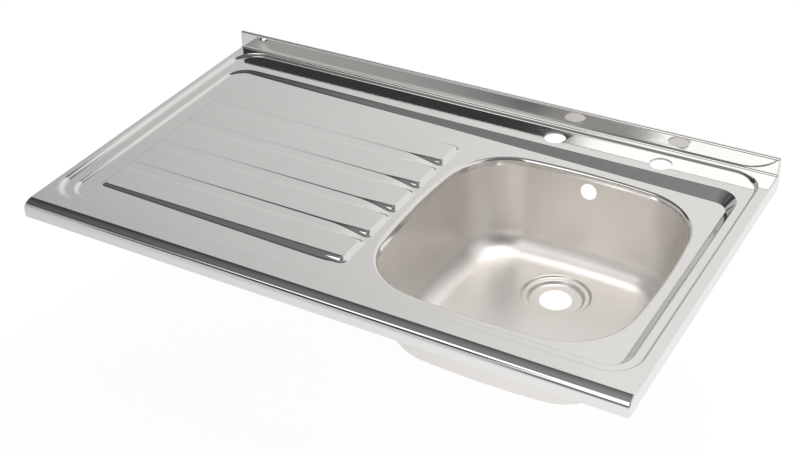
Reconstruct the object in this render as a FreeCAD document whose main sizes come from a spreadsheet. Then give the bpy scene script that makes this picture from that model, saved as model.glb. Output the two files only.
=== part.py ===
import FreeCAD, Part
import math
import os

from FreeCAD import Placement, Rotation, Vector
import Sketcher

# Lay-on kitchen sink with drainboard, in pressed stainless steel.
# Frame: +X to the right, +Y to the wall, +Z up. The origin lies in the cabinet seat, the plane on
# which the battens under the rim stand, at the middle of the front batten. Lengths are in millimetres.

SIZES = (
    # the pressed top
    ("top_width", 1000, "left edge to right edge"),
    ("top_depth", 600, "front face to the back of the upstand"),
    ("top_gauge", 1.0, "thickness of the steel of the top"),
    ("rim_height", 26, "outer land above the cabinet seat"),
    ("flange_gap", 0.5, "lower edge of the flanges above the seat"),
    ("front_roll", 14, "outside radius of the rolled front edge"),
    ("edge_bend", 2.5, "outside radius of the side edges"),
    ("upstand_rise", 30, "top of the upstand above the outer land"),
    ("upstand_thick", 8, "front face of the upstand to its back"),
    ("upstand_bend", 3, "outside radius along the top of the upstand"),
    ("upstand_return", 14, "height of the turned-down back of the upstand"),
    ("fold_radius", 3, "inside radius between the land and the upstand"),
    # the ledge inside the outer land
    ("ledge_drop", 3, "ledge below the outer land"),
    ("ledge_front", 43, "front face to the edge of the ledge"),
    ("ledge_left", 14, "left edge to the edge of the ledge"),
    ("ledge_right", 16, "right edge to the edge of the ledge"),
    ("ledge_back", 6, "face of the upstand to the edge of the ledge"),
    ("ledge_corner", 48, "plan radius of the ledge's corners"),
    ("step_blend", 2.5, "blend radius along the steps of the rim"),
    # the sunk field that holds the drainer and the bowl
    ("field_front", 58, "front face to the edge of the field"),
    ("field_left", 38, "left edge to the edge of the field"),
    ("field_right", 32, "right edge to the edge of the field"),
    ("field_back", 68, "face of the upstand to the edge of the field"),
    ("field_corner", 36, "plan radius of the field's corners"),
    ("field_drop_left", 2, "field below the ledge at its left edge"),
    ("field_drop_right", 13, "field below the ledge at its right edge"),
    ("field_slope", 1.0, "run of the field's walls for each unit of drop"),
    ("field_slope_back", 1.5, "run of the back wall for each unit of drop"),
    # the drainer's raised plateaus
    ("plateau_count", 5, "number of plateaus"),
    ("plateau_left", 34, "field's left edge to the plateaus' left ends"),
    ("plateau_front", 48, "field's front edge to the first plateau"),
    ("plateau_back", 62, "field's back edge to the last plateau"),
    ("plateau_to_bowl", 19, "plateaus' right ends to the bowl's opening"),
    ("plateau_valley", 21.5, "plateau to plateau, between their tops"),
    ("plateau_corner", 8, "plan radius of the plateaus' corners"),
    ("plateau_rise_left", 2.2, "plateau above the field at its left end"),
    ("plateau_rise_right", 5.4, "plateau above the field at its right end"),
    ("plateau_draft_angle", 32, "lean of the plateaus' walls, in degrees"),
    ("plateau_blend", 1.0, "blend radius round the plateaus"),
    # the bowl
    ("bowl_width", 400, "opening, left to right"),
    ("bowl_to_right", 31, "opening to the field's right edge"),
    ("bowl_to_front", 23, "opening to the field's front edge"),
    ("bowl_to_back", 37, "opening to the field's back edge"),
    ("bowl_bow", 1100, "plan radius of the bowl's bowed sides"),
    ("bowl_corner", 105, "plan radius of the bowl's corners"),
    ("bowl_draft_angle", 8, "lean of the bowl's walls, in degrees"),
    ("bowl_depth", 172, "outer land to the floor at the back of the bowl"),
    ("bowl_fall", 11, "fall of the floor from front to back"),
    ("bowl_cove", 42, "inside radius between wall and floor"),
    ("bowl_gauge", 0.9, "thickness of the steel of the bowl"),
    ("lip_radius", 6, "outside radius of the turned-down lip"),
    ("seam_drop", 23.5, "outer land to the seam of lip and bowl"),
    ("weld_height", 2.4, "height of the seam's weld bead"),
    ("weld_reach", 1.2, "how far the weld bead stands out"),
    # waste and overflow
    ("waste_to_back", 117, "bowl's back edge to the centre of the waste"),
    ("waste_hole", 52, "diameter of the waste hole"),
    ("waste_seat", 84, "diameter of the flat seat round the waste hole"),
    ("waste_dish", 106, "diameter of the shallow dish round the seat"),
    ("waste_seat_drop", 179, "outer land to the seat"),
    ("waste_dish_drop", 173.5, "outer land to the dish"),
    ("waste_flare", 0.5, "run of the walls of the dish and the seat for each unit of height"),
    ("waste_blend", 1.2, "blend radius round the dish and the seat"),
    ("overflow_hole", 27, "diameter of the overflow hole"),
    ("overflow_drop", 42, "outer land to the centre of the overflow hole"),
    # tap holes and the plate under them
    ("tap_hole", 35, "diameter of each tap hole"),
    ("tap_distance", 180, "centre to centre"),
    ("tap_back", 40, "face of the upstand to the tap holes' centres"),
    ("tap_plate_thick", 2, "thickness of the plate under the tap ledge"),
    ("tap_plate_rim", 4.5, "tap hole to the long edges of the plate"),
    ("tap_plate_end", 50, "tap hole's centre to the plate's end"),
    # battens that carry the rim
    ("bond_gap", 0.2, "thickness of the adhesive between parts"),
    ("batten_side_gap", 3, "inside of a flange to the batten"),
    ("batten_side_width", 25, "width of the left and right battens"),
    ("batten_front_gap", 14, "inside of the front flange to the front batten"),
    ("batten_front_width", 26, "width of the front batten"),
    ("batten_back_gap", 1.5, "back batten to the upstand and to the tap hole plate"),
    # channels and pads under the drainer
    ("channel_count", 3, "number of channels"),
    ("channel_front", 16, "field's front edge to the channels"),
    ("channel_back", 30, "field's back edge to the channels"),
    ("channel_crown", 22, "width of the crown"),
    ("channel_flange", 12, "width of each flange"),
    ("channel_height", 12, "height of the section"),
    ("channel_gauge", 1.0, "thickness of the section"),
    ("pad_thick", 2.0, "thickness of the damping pads"),
    ("pad_inset", 40, "drainer's pads shorter than the channels at each end"),
    ("pad_clearance", 8, "channel to pad"),
    ("floor_pad_side", 105, "bowl's opening to the sides of the pad under the bowl"),
    ("floor_pad_front", 104, "bowl's opening to the front of the pad under the bowl"),
    ("floor_pad_gap", 12, "waste dish to the pad under the bowl"),
    ("wall_pad_length", 170, "pads on the bowl's sides, front to back"),
    ("wall_pad_height", 70, "height of the pads on the bowl's sides"),
    ("wall_pad_drop", 48, "outer land to the top of the pads on the sides"),
    # cranked plates that hold the sink to a cabinet
    ("plate_gauge", 2.0, "thickness of a fixing plate"),
    ("plate_width", 24, "width of a fixing plate"),
    ("plate_rise", 16, "top of a fixing plate above the seat"),
    ("plate_crank_drop", 3, "seat to the top of the crank"),
    ("plate_drop", 40, "seat to the lower end of a fixing plate"),
    ("plate_inset", 110, "centre of a plate to the front or back of the sink"),
    ("cabinet_side", 18, "thickness of the cabinet's side panel"),
    ("plate_hole", 4.5, "diameter of the holes in a fixing plate"),
    ("plate_hole_drop", 26, "seat to the hole for the cabinet's screw"),
    ("screw_rise", 8, "seat to the batten's screw"),
    ("screw_shank", 4.0, "diameter of a batten screw"),
    ("screw_length", 15, "length of a batten screw under its head"),
    ("screw_head", 8, "diameter of a batten screw's head"),
    ("screw_head_height", 2.4, "height of a batten screw's head"),
    ("screw_fit", 0.1, "pilot hole wider than the screw"),
    ("screw_tip", 1.5, "pilot hole deeper than the screw"),
)

doc = FreeCAD.newDocument("lay_on_sink")
sizes = doc.addObject("Spreadsheet::Sheet", "sizes")
for row, (alias, value, meaning) in enumerate(SIZES, start=1):
    sizes.set(f"A{row}", str(value))
    sizes.setAlias(f"A{row}", alias)
    sizes.set(f"B{row}", meaning)
doc.recompute()


def size(alias):
    """The value of one driving dimension."""
    return float(sizes.get(alias))


# ---------------------------------------------------------------- places worked out from the sizes

LEFT = -size("top_width") / 2
RIGHT = size("top_width") / 2
GAUGE = size("top_gauge")
FRONT = -GAUGE - size("batten_front_gap") - size("batten_front_width") / 2
BACK = FRONT + size("top_depth")
LAND = size("rim_height")
UPSTAND_FACE = BACK - size("upstand_thick")
CREST = LAND + size("upstand_rise")
LEDGE = LAND - size("ledge_drop")
SEAM = LAND - size("seam_drop")

FIELD_LEFT = LEFT + size("field_left")
FIELD_RIGHT = RIGHT - size("field_right")
FIELD_FRONT = FRONT + size("field_front")
FIELD_BACK = UPSTAND_FACE - size("field_back")

BOWL_RIGHT = FIELD_RIGHT - size("bowl_to_right")
BOWL_LEFT = BOWL_RIGHT - size("bowl_width")
BOWL_FRONT = FIELD_FRONT + size("bowl_to_front")
BOWL_BACK = FIELD_BACK - size("bowl_to_back")
BOWL_X = (BOWL_LEFT + BOWL_RIGHT) / 2
BOWL_Y = (BOWL_FRONT + BOWL_BACK) / 2
WASTE_Y = BOWL_BACK - size("waste_to_back")
TAP_Y = UPSTAND_FACE - size("tap_back")

PLATEAU_LEFT = FIELD_LEFT + size("plateau_left")
PLATEAU_RIGHT = BOWL_LEFT - size("plateau_to_bowl")
PLATEAU_FRONT = FIELD_FRONT + size("plateau_front")
PLATEAU_BACK = FIELD_BACK - size("plateau_back")
ROWS = int(size("plateau_count"))
PLATEAU_WIDTH = (PLATEAU_BACK - PLATEAU_FRONT - (ROWS - 1) * size("plateau_valley")) / ROWS

BELOW = 60.0       # how far the form of the top reaches under the seat before it is trimmed
BEYOND = 400.0     # how far a cutting tool reaches past the part
TOUCH = 0.01       # tolerance for finding an edge by its place
SEAM_TURN = 20.0   # turn of the bowl's round tools about their axes, in degrees


def field_z(x):
    """Height of the sloping field at x."""
    fall = size("field_drop_right") - size("field_drop_left")
    return LEDGE - size("field_drop_left") - fall * (x - FIELD_LEFT) / (FIELD_RIGHT - FIELD_LEFT)


FIELD_TILT = math.degrees(math.atan2(field_z(LEFT) - field_z(RIGHT), RIGHT - LEFT))


def plateau_z(x):
    """Height of the plateaus' tops at x."""
    at_left = field_z(PLATEAU_LEFT) + size("plateau_rise_left")
    at_right = field_z(PLATEAU_RIGHT) + size("plateau_rise_right")
    return at_left + (at_right - at_left) * (x - PLATEAU_LEFT) / (PLATEAU_RIGHT - PLATEAU_LEFT)


def floor_z(y):
    """Height of the bowl's sloping floor at y."""
    return LAND - size("bowl_depth") + size("bowl_fall") * (BOWL_BACK - y) / (BOWL_BACK - BOWL_FRONT)


FLOOR_TILT = math.degrees(math.atan2(floor_z(FRONT) - floor_z(BACK), BACK - FRONT))


# ---------------------------------------------------------------- outlines and forming tools

def arc(first, middle, last):
    return Part.Arc(first, middle, last).toShape()


def rounded_rectangle(x0, x1, y0, y1, radius, z):
    """Closed wire: a rectangle in plan with round corners, at height z."""
    diagonal = radius * (1 - math.sqrt(0.5))
    edges = [
        Part.makeLine(Vector(x0 + radius, y0, z), Vector(x1 - radius, y0, z)),
        arc(Vector(x1 - radius, y0, z), Vector(x1 - diagonal, y0 + diagonal, z), Vector(x1, y0 + radius, z)),
        Part.makeLine(Vector(x1, y0 + radius, z), Vector(x1, y1 - radius, z)),
        arc(Vector(x1, y1 - radius, z), Vector(x1 - diagonal, y1 - diagonal, z), Vector(x1 - radius, y1, z)),
        Part.makeLine(Vector(x1 - radius, y1, z), Vector(x0 + radius, y1, z)),
        arc(Vector(x0 + radius, y1, z), Vector(x0 + diagonal, y1 - diagonal, z), Vector(x0, y1 - radius, z)),
        Part.makeLine(Vector(x0, y1 - radius, z), Vector(x0, y0 + radius, z)),
        arc(Vector(x0, y0 + radius, z), Vector(x0 + diagonal, y0 + diagonal, z), Vector(x0 + radius, y0, z)),
    ]
    return Part.Wire(edges)


def bowl_outline(outset, z):
    """Closed wire: the bowl's plan with bowed sides and round corners, moved out by outset."""
    half_width = (BOWL_RIGHT - BOWL_LEFT) / 2 + outset
    half_length = (BOWL_BACK - BOWL_FRONT) / 2 + outset
    bow = size("bowl_bow") + outset
    corner = size("bowl_corner") + outset
    side_centre = Vector(half_width - bow, 0, 0)
    end_centre = Vector(0, half_length - bow, 0)
    # the corner's centre lies at the same distance from the centres of both bowed sides
    middle = (side_centre + end_centre) * 0.5
    apart = side_centre - end_centre
    across = Vector(-apart.y, apart.x, 0).normalize()
    if across.x < 0:
        across = across * -1
    reach = math.sqrt((bow - corner) ** 2 - (apart.Length / 2) ** 2)
    corner_centre = middle + across * reach
    to_side = (corner_centre - side_centre).normalize()
    to_end = (corner_centre - end_centre).normalize()
    on_side = side_centre + to_side * bow
    on_end = end_centre + to_end * bow
    on_corner = corner_centre + (to_side + to_end).normalize() * corner

    def place(point, sx, sy):
        return Vector(BOWL_X + sx * point.x, BOWL_Y + sy * point.y, z)

    edges = []
    for sx, sy in ((1, 1), (-1, 1), (-1, -1), (1, -1)):
        corner_points = [place(point, sx, sy) for point in (on_side, on_corner, on_end)]
        if sx * sy < 0:
            corner_points.reverse()
        edges.append(arc(*corner_points))
        if sx * sy > 0:
            ends = (place(on_end, sx, sy), place(Vector(0, half_length, 0), sx, sy), place(on_end, -sx, sy))
        else:
            ends = (place(on_side, sx, sy), place(Vector(half_width, 0, 0), sx, sy), place(on_side, sx, -sy))
        edges.append(arc(*ends))
    return Part.Wire(edges)


def wall_between(lower, upper):
    """Solid between two outlines, with straight walls."""
    return Part.makeLoft([lower, upper], True, True)


def box_between(x0, x1, y0, y1, z0, z1):
    return Part.makeBox(x1 - x0, y1 - y0, z1 - z0, Vector(x0, y0, z0))


def below_slope_x(height, drop=0.0):
    """Solid under a plane that slopes along X; height gives the plane's z at x."""
    x0, x1 = LEFT - BEYOND, RIGHT + BEYOND
    points = [Vector(x0, 0, -BEYOND), Vector(x1, 0, -BEYOND), Vector(x1, 0, height(x1) - drop),
              Vector(x0, 0, height(x0) - drop), Vector(x0, 0, -BEYOND)]
    profile = Part.Face(Part.makePolygon(points))
    profile.translate(Vector(0, FRONT - BEYOND, 0))
    return profile.extrude(Vector(0, BACK - FRONT + 2 * BEYOND, 0))


def above_slope_y(height, drop=0.0):
    """Solid over a plane that slopes along Y; height gives the plane's z at y."""
    y0, y1 = FRONT - BEYOND, BACK + BEYOND
    points = [Vector(0, y0, BEYOND), Vector(0, y1, BEYOND), Vector(0, y1, height(y1) - drop),
              Vector(0, y0, height(y0) - drop), Vector(0, y0, BEYOND)]
    profile = Part.Face(Part.makePolygon(points))
    profile.translate(Vector(LEFT - BEYOND, 0, 0))
    return profile.extrude(Vector(RIGHT - LEFT + 2 * BEYOND, 0, 0))


def edges_where(shape, test):
    """Edges of which both ends and the middle pass the test."""
    found = []
    for edge in shape.Edges:
        first, last = edge.FirstParameter, edge.LastParameter
        points = [edge.valueAt(parameter) for parameter in (first, (first + last) / 2, last)]
        if all(test(point) for point in points):
            found.append(edge)
    return found


def inside_plan(point, x0, x1, y0, y1):
    return x0 <= point.x <= x1 and y0 <= point.y <= y1


# ---------------------------------------------------------------- the pressed top

def top_section(skin, foot):
    """Face across the top, from the front flange to the back of the upstand, inset by skin."""
    roll = size("front_roll")
    bend = size("upstand_bend")
    fold = size("fold_radius")
    crest = LAND + size("upstand_rise")
    half = math.sqrt(0.5)

    def at(y, z):
        return Vector(LEFT + skin, y, z)

    roll_centre = (FRONT + roll, LAND - roll)
    fold_centre = (UPSTAND_FACE - fold, LAND + fold)
    face_centre = (UPSTAND_FACE + bend, crest - bend)
    back_centre = (BACK - bend, crest - bend)
    p0 = at(FRONT + skin, foot)
    p1 = at(FRONT + skin, roll_centre[1])
    p2 = at(roll_centre[0] - (roll - skin) * half, roll_centre[1] + (roll - skin) * half)
    p3 = at(roll_centre[0], LAND - skin)
    p4 = at(fold_centre[0], LAND - skin)
    p5 = at(fold_centre[0] + (fold + skin) * half, fold_centre[1] - (fold + skin) * half)
    p6 = at(UPSTAND_FACE + skin, fold_centre[1])
    p7 = at(UPSTAND_FACE + skin, face_centre[1])
    p8 = at(face_centre[0] - (bend - skin) * half, face_centre[1] + (bend - skin) * half)
    p9 = at(face_centre[0], crest - skin)
    p10 = at(back_centre[0], crest - skin)
    p11 = at(back_centre[0] + (bend - skin) * half, back_centre[1] + (bend - skin) * half)
    p12 = at(BACK - skin, back_centre[1])
    p13 = at(BACK - skin, foot)
    edges = [Part.makeLine(p0, p1), arc(p1, p2, p3), Part.makeLine(p3, p4), arc(p4, p5, p6),
             Part.makeLine(p6, p7), arc(p7, p8, p9), Part.makeLine(p9, p10), arc(p10, p11, p12),
             Part.makeLine(p12, p13), Part.makeLine(p13, p0)]
    return Part.Face(Part.Wire(edges))


def sunk_tool(x0, x1, y0, y1, corner, top, reach, runs):
    """Tool that sinks a rounded rectangle: runs are the walls' runs per unit of depth."""
    run_left, run_right, run_front, run_back = runs
    upper = rounded_rectangle(x0, x1, y0, y1, corner, top)
    lower = rounded_rectangle(x0 + reach * run_left, x1 - reach * run_right,
                              y0 + reach * run_front, y1 - reach * run_back,
                              corner - reach * min(runs), top - reach)
    return wall_between(lower, upper)


def ledge_tool(skin):
    drop = size("ledge_drop")
    return sunk_tool(LEFT + size("ledge_left"), RIGHT - size("ledge_right"),
                     FRONT + size("ledge_front"), UPSTAND_FACE - size("ledge_back"),
                     size("ledge_corner"), LAND - skin, drop, (1, 1, 1, 1))


def plateau_tool(row, skin):
    """One plateau, standing under its sloping top plane."""
    spread = math.tan(math.radians(size("plateau_draft_angle")))
    front = PLATEAU_FRONT + row * (PLATEAU_WIDTH + size("plateau_valley"))
    mean_top = plateau_z((PLATEAU_LEFT + PLATEAU_RIGHT) / 2)

    def outline(z):
        out = (mean_top - z) * spread
        return rounded_rectangle(PLATEAU_LEFT - out, PLATEAU_RIGHT + out, front - out,
                                 front + PLATEAU_WIDTH + out, size("plateau_corner") + out, z - skin)

    foot = field_z(PLATEAU_RIGHT) - size("plateau_rise_right")
    return wall_between(outline(foot), outline(LAND)).common(below_slope_x(plateau_z, skin))


def field_tool(skin):
    slope = size("field_slope")
    runs = (slope, slope, slope, size("field_slope_back"))
    reach = LEDGE - field_z(RIGHT) + size("field_drop_right") - size("field_drop_left")
    tool = sunk_tool(FIELD_LEFT, FIELD_RIGHT, FIELD_FRONT, FIELD_BACK, size("field_corner"), LEDGE - skin,
                     reach, runs)
    tool = tool.cut(below_slope_x(field_z, skin))
    for row in range(ROWS):
        tool = tool.cut(plateau_tool(row, skin))
    return tool


def bowl_wall_tool(outset, lower, upper):
    """The bowl's tapered wall, between two heights, moved out by outset."""
    lean = math.tan(math.radians(size("bowl_draft_angle")))
    rim = field_z(BOWL_X)
    return wall_between(bowl_outline(outset + (lower - rim) * lean, lower),
                        bowl_outline(outset + (upper - rim) * lean, upper))


def top_form(skin, foot):
    """The pressed top as a full solid; skin 0 is its upper face, the gauge its underside."""
    form = top_section(skin, foot).extrude(Vector(RIGHT - LEFT - 2 * skin, 0, 0))

    def on_end(point):
        return min(abs(point.x - LEFT - skin), abs(point.x - RIGHT + skin)) < TOUCH

    # every edge of both ends but the level one at the foot and the upright one at the back
    side_edges = [edge for edge in edges_where(form, on_end)
                  if edge.BoundBox.ZMax > foot + TOUCH and edge.BoundBox.YMin < BACK - skin - TOUCH]
    form = form.makeFillet(size("edge_bend") - skin, side_edges)
    form = form.cut(ledge_tool(skin)).cut(field_tool(skin))

    margin = (size("plateau_rise_right") * math.tan(math.radians(size("plateau_draft_angle")))
              + size("plateau_blend"))

    def near_plateaus(point):
        return inside_plan(point, PLATEAU_LEFT - margin, PLATEAU_RIGHT + margin,
                           PLATEAU_FRONT - margin, PLATEAU_BACK + margin)

    def in_ledge(point):
        return inside_plan(point, LEFT + size("ledge_left") - TOUCH, RIGHT - size("ledge_right") + TOUCH,
                           FRONT + size("ledge_front") - TOUCH, UPSTAND_FACE - size("ledge_back") + TOUCH)

    def on_steps(point):
        at_land = abs(point.z - LAND + skin) < TOUCH
        at_ledge = abs(point.z - LEDGE + skin) < TOUCH
        return in_ledge(point) and not near_plateaus(point) and (at_land or at_ledge)

    def on_field(point):
        return in_ledge(point) and abs(point.z - field_z(point.x) + skin) < TOUCH

    def on_foot(point):
        return on_field(point) and not near_plateaus(point)

    def on_plateaus(point):
        at_top = abs(point.z - plateau_z(point.x) + skin) < TOUCH
        return near_plateaus(point) and (at_top or on_field(point))

    form = form.makeFillet(size("step_blend"), edges_where(form, on_steps))
    form = form.makeFillet(size("step_blend"), edges_where(form, on_foot))
    form = form.makeFillet(size("plateau_blend"), edges_where(form, on_plateaus))
    form = form.cut(bowl_wall_tool(skin, -2 * BELOW, LAND))

    def on_lip(point):
        reach = size("lip_radius")
        return on_field(point) and inside_plan(point, BOWL_LEFT - reach, BOWL_RIGHT + reach,
                                               BOWL_FRONT - reach, BOWL_BACK + reach)

    return form.makeFillet(size("lip_radius") - skin, edges_where(form, on_lip))


def tap_holes():
    holes = []
    for side in (-0.5, 0.5):
        centre = Vector(BOWL_X + side * size("tap_distance"), TAP_Y, LEDGE - 2 * GAUGE)
        holes.append(Part.makeCylinder(size("tap_hole") / 2, 3 * GAUGE, centre))
    return Part.makeCompound(holes)


def make_top():
    """The top: its upper face less its underside, trimmed at the flanges and the lip, with its holes."""
    steel = top_form(0, -BELOW).cut(top_form(GAUGE, -2 * BELOW))
    foot = size("flange_gap")
    bowl_plan = Part.Face(bowl_outline(size("lip_radius"), -BELOW))
    under_rim = box_between(LEFT, RIGHT, FRONT, BACK, -BELOW, foot)
    under_rim = under_rim.cut(bowl_plan.extrude(Vector(0, 0, foot + BELOW)))
    under_lip = bowl_plan.extrude(Vector(0, 0, SEAM + BELOW))
    # the upstand is open at the back, under its return
    behind = box_between(LEFT + GAUGE, RIGHT - GAUGE, UPSTAND_FACE + GAUGE, BACK + GAUGE,
                         -BELOW, CREST - size("upstand_return"))
    return steel.cut(under_rim).cut(under_lip).cut(behind).cut(tap_holes())


# ---------------------------------------------------------------- the bowl

def seam_turned(shape, centre, axis):
    """A round tool turned about its own axis, so that its seam lies clear of the bowl's middle planes."""
    turned = shape.copy()
    turned.rotate(centre, axis, SEAM_TURN)
    return turned


def round_sink(diameter, drop, height, outset):
    """Cone round the waste's axis, standing on a flat base at the given drop below the land."""
    radius = diameter / 2 + outset
    base = Vector(BOWL_X, WASTE_Y, LAND - drop - outset)
    cone = Part.makeCone(radius, radius + height * size("waste_flare"), height, base)
    return seam_turned(cone, base, Vector(0, 0, 1))


def bowl_form(outset):
    """The space inside the bowl, grown by outset, from the seam down to the waste."""
    form = bowl_wall_tool(outset, -size("bowl_depth"), SEAM)
    form = form.common(above_slope_y(floor_z, outset))

    def on_floor(point):
        return abs(point.z - floor_z(point.y) + outset) < TOUCH

    form = form.makeFillet(size("bowl_cove") + outset, edges_where(form, on_floor))
    form = form.fuse(round_sink(size("waste_dish"), size("waste_dish_drop"), size("bowl_fall"), outset))
    seat_height = size("waste_seat_drop") - size("waste_dish_drop")
    form = form.fuse(round_sink(size("waste_seat"), size("waste_seat_drop"), seat_height, outset))

    def on_rings(point):
        reach = size("waste_dish") / 2 + size("bowl_fall")
        near = math.hypot(point.x - BOWL_X, point.y - WASTE_Y) < reach
        return near and point.z < floor_z(point.y) - outset + TOUCH

    rings = [edge for edge in edges_where(form, on_rings) if edge.isClosed()]
    return form.makeFillet(size("waste_blend"), rings)


def make_bowl():
    """The bowl: a shell with the waste hole in its floor and the overflow hole in its back wall."""
    steel = bowl_form(size("bowl_gauge")).cut(bowl_form(0))
    below_waste = Vector(BOWL_X, WASTE_Y, LAND - size("waste_seat_drop") - size("bowl_cove"))
    waste = Part.makeCylinder(size("waste_hole") / 2, 2 * size("bowl_cove"), below_waste)
    waste = seam_turned(waste, below_waste, Vector(0, 0, 1))
    # the overflow hole is square to the leaning wall
    lean = math.radians(size("bowl_draft_angle"))
    outward = Vector(0, math.cos(lean), -math.sin(lean))
    overflow_z = LAND - size("overflow_drop")
    on_wall = Vector(BOWL_X, BOWL_BACK + (overflow_z - field_z(BOWL_X)) * math.tan(lean), overflow_z)
    radius = size("overflow_hole") / 2
    overflow = Part.makeCylinder(radius, 2 * radius, on_wall - outward * radius, outward)
    return steel.cut(waste).cut(seam_turned(overflow, on_wall, outward))


def make_weld():
    """Bead of weld round the outside of the seam."""
    half = size("weld_height") / 2
    ring = bowl_wall_tool(GAUGE + size("weld_reach"), SEAM - half, SEAM + half)
    return ring.cut(bowl_wall_tool(GAUGE, SEAM - half, SEAM + half))


def make_wall_pad(side):
    """Damping pad that follows the bowl's left (-1) or right (1) wall."""
    inner = size("bowl_gauge") + size("bond_gap")
    top = LAND - size("wall_pad_drop")
    bottom = top - size("wall_pad_height")
    pad = bowl_wall_tool(inner + size("pad_thick"), bottom, top).cut(bowl_wall_tool(inner, bottom, top))
    half = size("wall_pad_length") / 2
    keep = Part.makeBox(BOWL_RIGHT - BOWL_X, 2 * half, top - bottom, Vector(0, -half, bottom))
    turn = Placement(Vector(BOWL_X, BOWL_Y, 0), Rotation(Vector(0, 0, 1), 0 if side > 0 else 180))
    keep.Placement = turn.multiply(keep.Placement)
    return pad.common(keep)


def formed(label, shape):
    """A sub-part with a computed shape."""
    piece = doc.addObject("Part::Feature", label)
    piece.Shape = shape
    return piece


# ---------------------------------------------------------------- sketched and simple pieces

def value_of(terms):
    """Sum of sizes; terms gives the factor of each."""
    return sum(factor * size(alias) for alias, factor in terms.items())


def formula_of(terms, sign=1):
    """The same sum as an expression on the sheet."""
    return " + ".join(f"{sign * factor} * sizes.{alias}" for alias, factor in terms.items())


def new_body(label, role):
    """A body with one sketch on the named plane of its origin."""
    body = doc.addObject("PartDesign::Body", label)
    return body, new_sketch(body, role)


def new_sketch(body, role):
    plane = next(feature for feature in body.Origin.OriginFeatures if feature.Role == role)
    sketch = body.newObject("Sketcher::SketchObject", body.Label + "_sketch")
    sketch.AttachmentSupport = [(plane, "")]
    sketch.MapMode = "FlatFace"
    return sketch


def hold(sketch, kind, first, second, terms):
    """Bind the distance between two points of a sketch to the sheet."""
    sign = 1
    if value_of(terms) < 0:
        sign = -1
        first, second = second, first
    constraint = Sketcher.Constraint(kind, *first, *second, abs(value_of(terms)))
    index = sketch.addConstraint(constraint)
    sketch.setExpression(f"Constraints[{index}]", formula_of(terms, sign))


def hold_point(sketch, point, x_terms, y_terms):
    """Bind a point of a sketch to its place from the origin; no terms means on the axis."""
    for kind, axis, terms in (("DistanceX", -2, x_terms), ("DistanceY", -1, y_terms)):
        if terms:
            hold(sketch, kind, (-1, 1), point, terms)
        else:
            sketch.addConstraint(Sketcher.Constraint("PointOnObject", *point, axis))


def draw_runs(sketch, x_terms, y_terms, runs):
    """Closed outline of level and upright runs, from a first point; the last two runs follow."""
    first = sketch.GeometryCount
    x, y = value_of(x_terms), value_of(y_terms)
    corners = [Vector(x, y, 0)]
    for kind, terms in runs:
        if kind == "DistanceX":
            x += value_of(terms)
        else:
            y += value_of(terms)
        corners.append(Vector(x, y, 0))
    if runs[-1][0] == "DistanceY":
        corners.append(Vector(corners[0].x, y, 0))
    else:
        corners.append(Vector(x, corners[0].y, 0))
    count = len(corners)
    for index in range(count):
        sketch.addGeometry(Part.LineSegment(corners[index], corners[(index + 1) % count]))
    level_first = runs[0][0] == "DistanceX"
    for index in range(count):
        line = first + index
        following = first + (index + 1) % count
        level = (index % 2 == 0) == level_first
        sketch.addConstraint(Sketcher.Constraint("Coincident", line, 2, following, 1))
        sketch.addConstraint(Sketcher.Constraint("Horizontal" if level else "Vertical", line))
    hold_point(sketch, (first, 1), x_terms, y_terms)
    for index, (kind, terms) in enumerate(runs):
        hold(sketch, kind, (first + index, 1), (first + index, 2), terms)


def draw_hole(sketch, x_terms, y_terms, diameter):
    """Circle of a named diameter."""
    centre = Vector(value_of(x_terms), value_of(y_terms), 0)
    index = sketch.addGeometry(Part.Circle(centre, Vector(0, 0, 1), size(diameter) / 2))
    hold_point(sketch, (index, 3), x_terms, y_terms)
    constraint = sketch.addConstraint(Sketcher.Constraint("Diameter", index, size(diameter)))
    sketch.setExpression(f"Constraints[{constraint}]", f"sizes.{diameter}")


def pad_sketch(body, sketch, length, side_type="One side"):
    pad = body.newObject("PartDesign::Pad", body.Label + "_pad")
    pad.Profile = sketch
    pad.SideType = side_type
    pad.setExpression("Length", length)
    sketch.Visibility = False
    return pad


def make_tap_plate():
    """Plate that stiffens the tap ledge, with a hole under each tap hole."""
    body, sketch = new_body("tap_hole_plate", "XY_Plane")
    draw_runs(sketch, {"tap_distance": -0.5, "tap_plate_end": -1}, {"tap_hole": -0.5, "tap_plate_rim": -1}, (
        ("DistanceX", {"tap_distance": 1, "tap_plate_end": 2}),
        ("DistanceY", {"tap_hole": 1, "tap_plate_rim": 2})))
    for side in (-0.5, 0.5):
        draw_hole(sketch, {"tap_distance": side}, {}, "tap_hole")
    pad_sketch(body, sketch, "sizes.tap_plate_thick")
    body.Placement.Base = Vector(BOWL_X, TAP_Y, LEDGE - GAUGE - size("bond_gap") - size("tap_plate_thick"))
    return body


def make_channel(name, x, front, back):
    """Channel of top-hat section under the drainer, its flanges bonded to the field."""
    body, sketch = new_body(name, "XZ_Plane")
    draw_runs(sketch, {"channel_crown": -0.5, "channel_flange": -1}, {}, (
        ("DistanceX", {"channel_flange": 1, "channel_gauge": 1}),
        ("DistanceY", {"channel_height": -1, "channel_gauge": 1}),
        ("DistanceX", {"channel_crown": 1, "channel_gauge": -2}),
        ("DistanceY", {"channel_height": 1, "channel_gauge": -1}),
        ("DistanceX", {"channel_flange": 1, "channel_gauge": 1}),
        ("DistanceY", {"channel_gauge": -1}),
        ("DistanceX", {"channel_flange": -1}),
        ("DistanceY", {"channel_height": -1, "channel_gauge": 1}),
        ("DistanceX", {"channel_crown": -1}),
        ("DistanceY", {"channel_height": 1, "channel_gauge": -1})))
    length = ("sizes.top_depth - sizes.upstand_thick - sizes.field_front - sizes.field_back"
              " - sizes.channel_front - sizes.channel_back")
    pad_sketch(body, sketch, length, "Symmetric")
    body.Placement = Placement(Vector(x, (front + back) / 2, field_z(x) - GAUGE - size("bond_gap")),
                               Rotation(Vector(0, 1, 0), FIELD_TILT))
    return body


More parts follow.
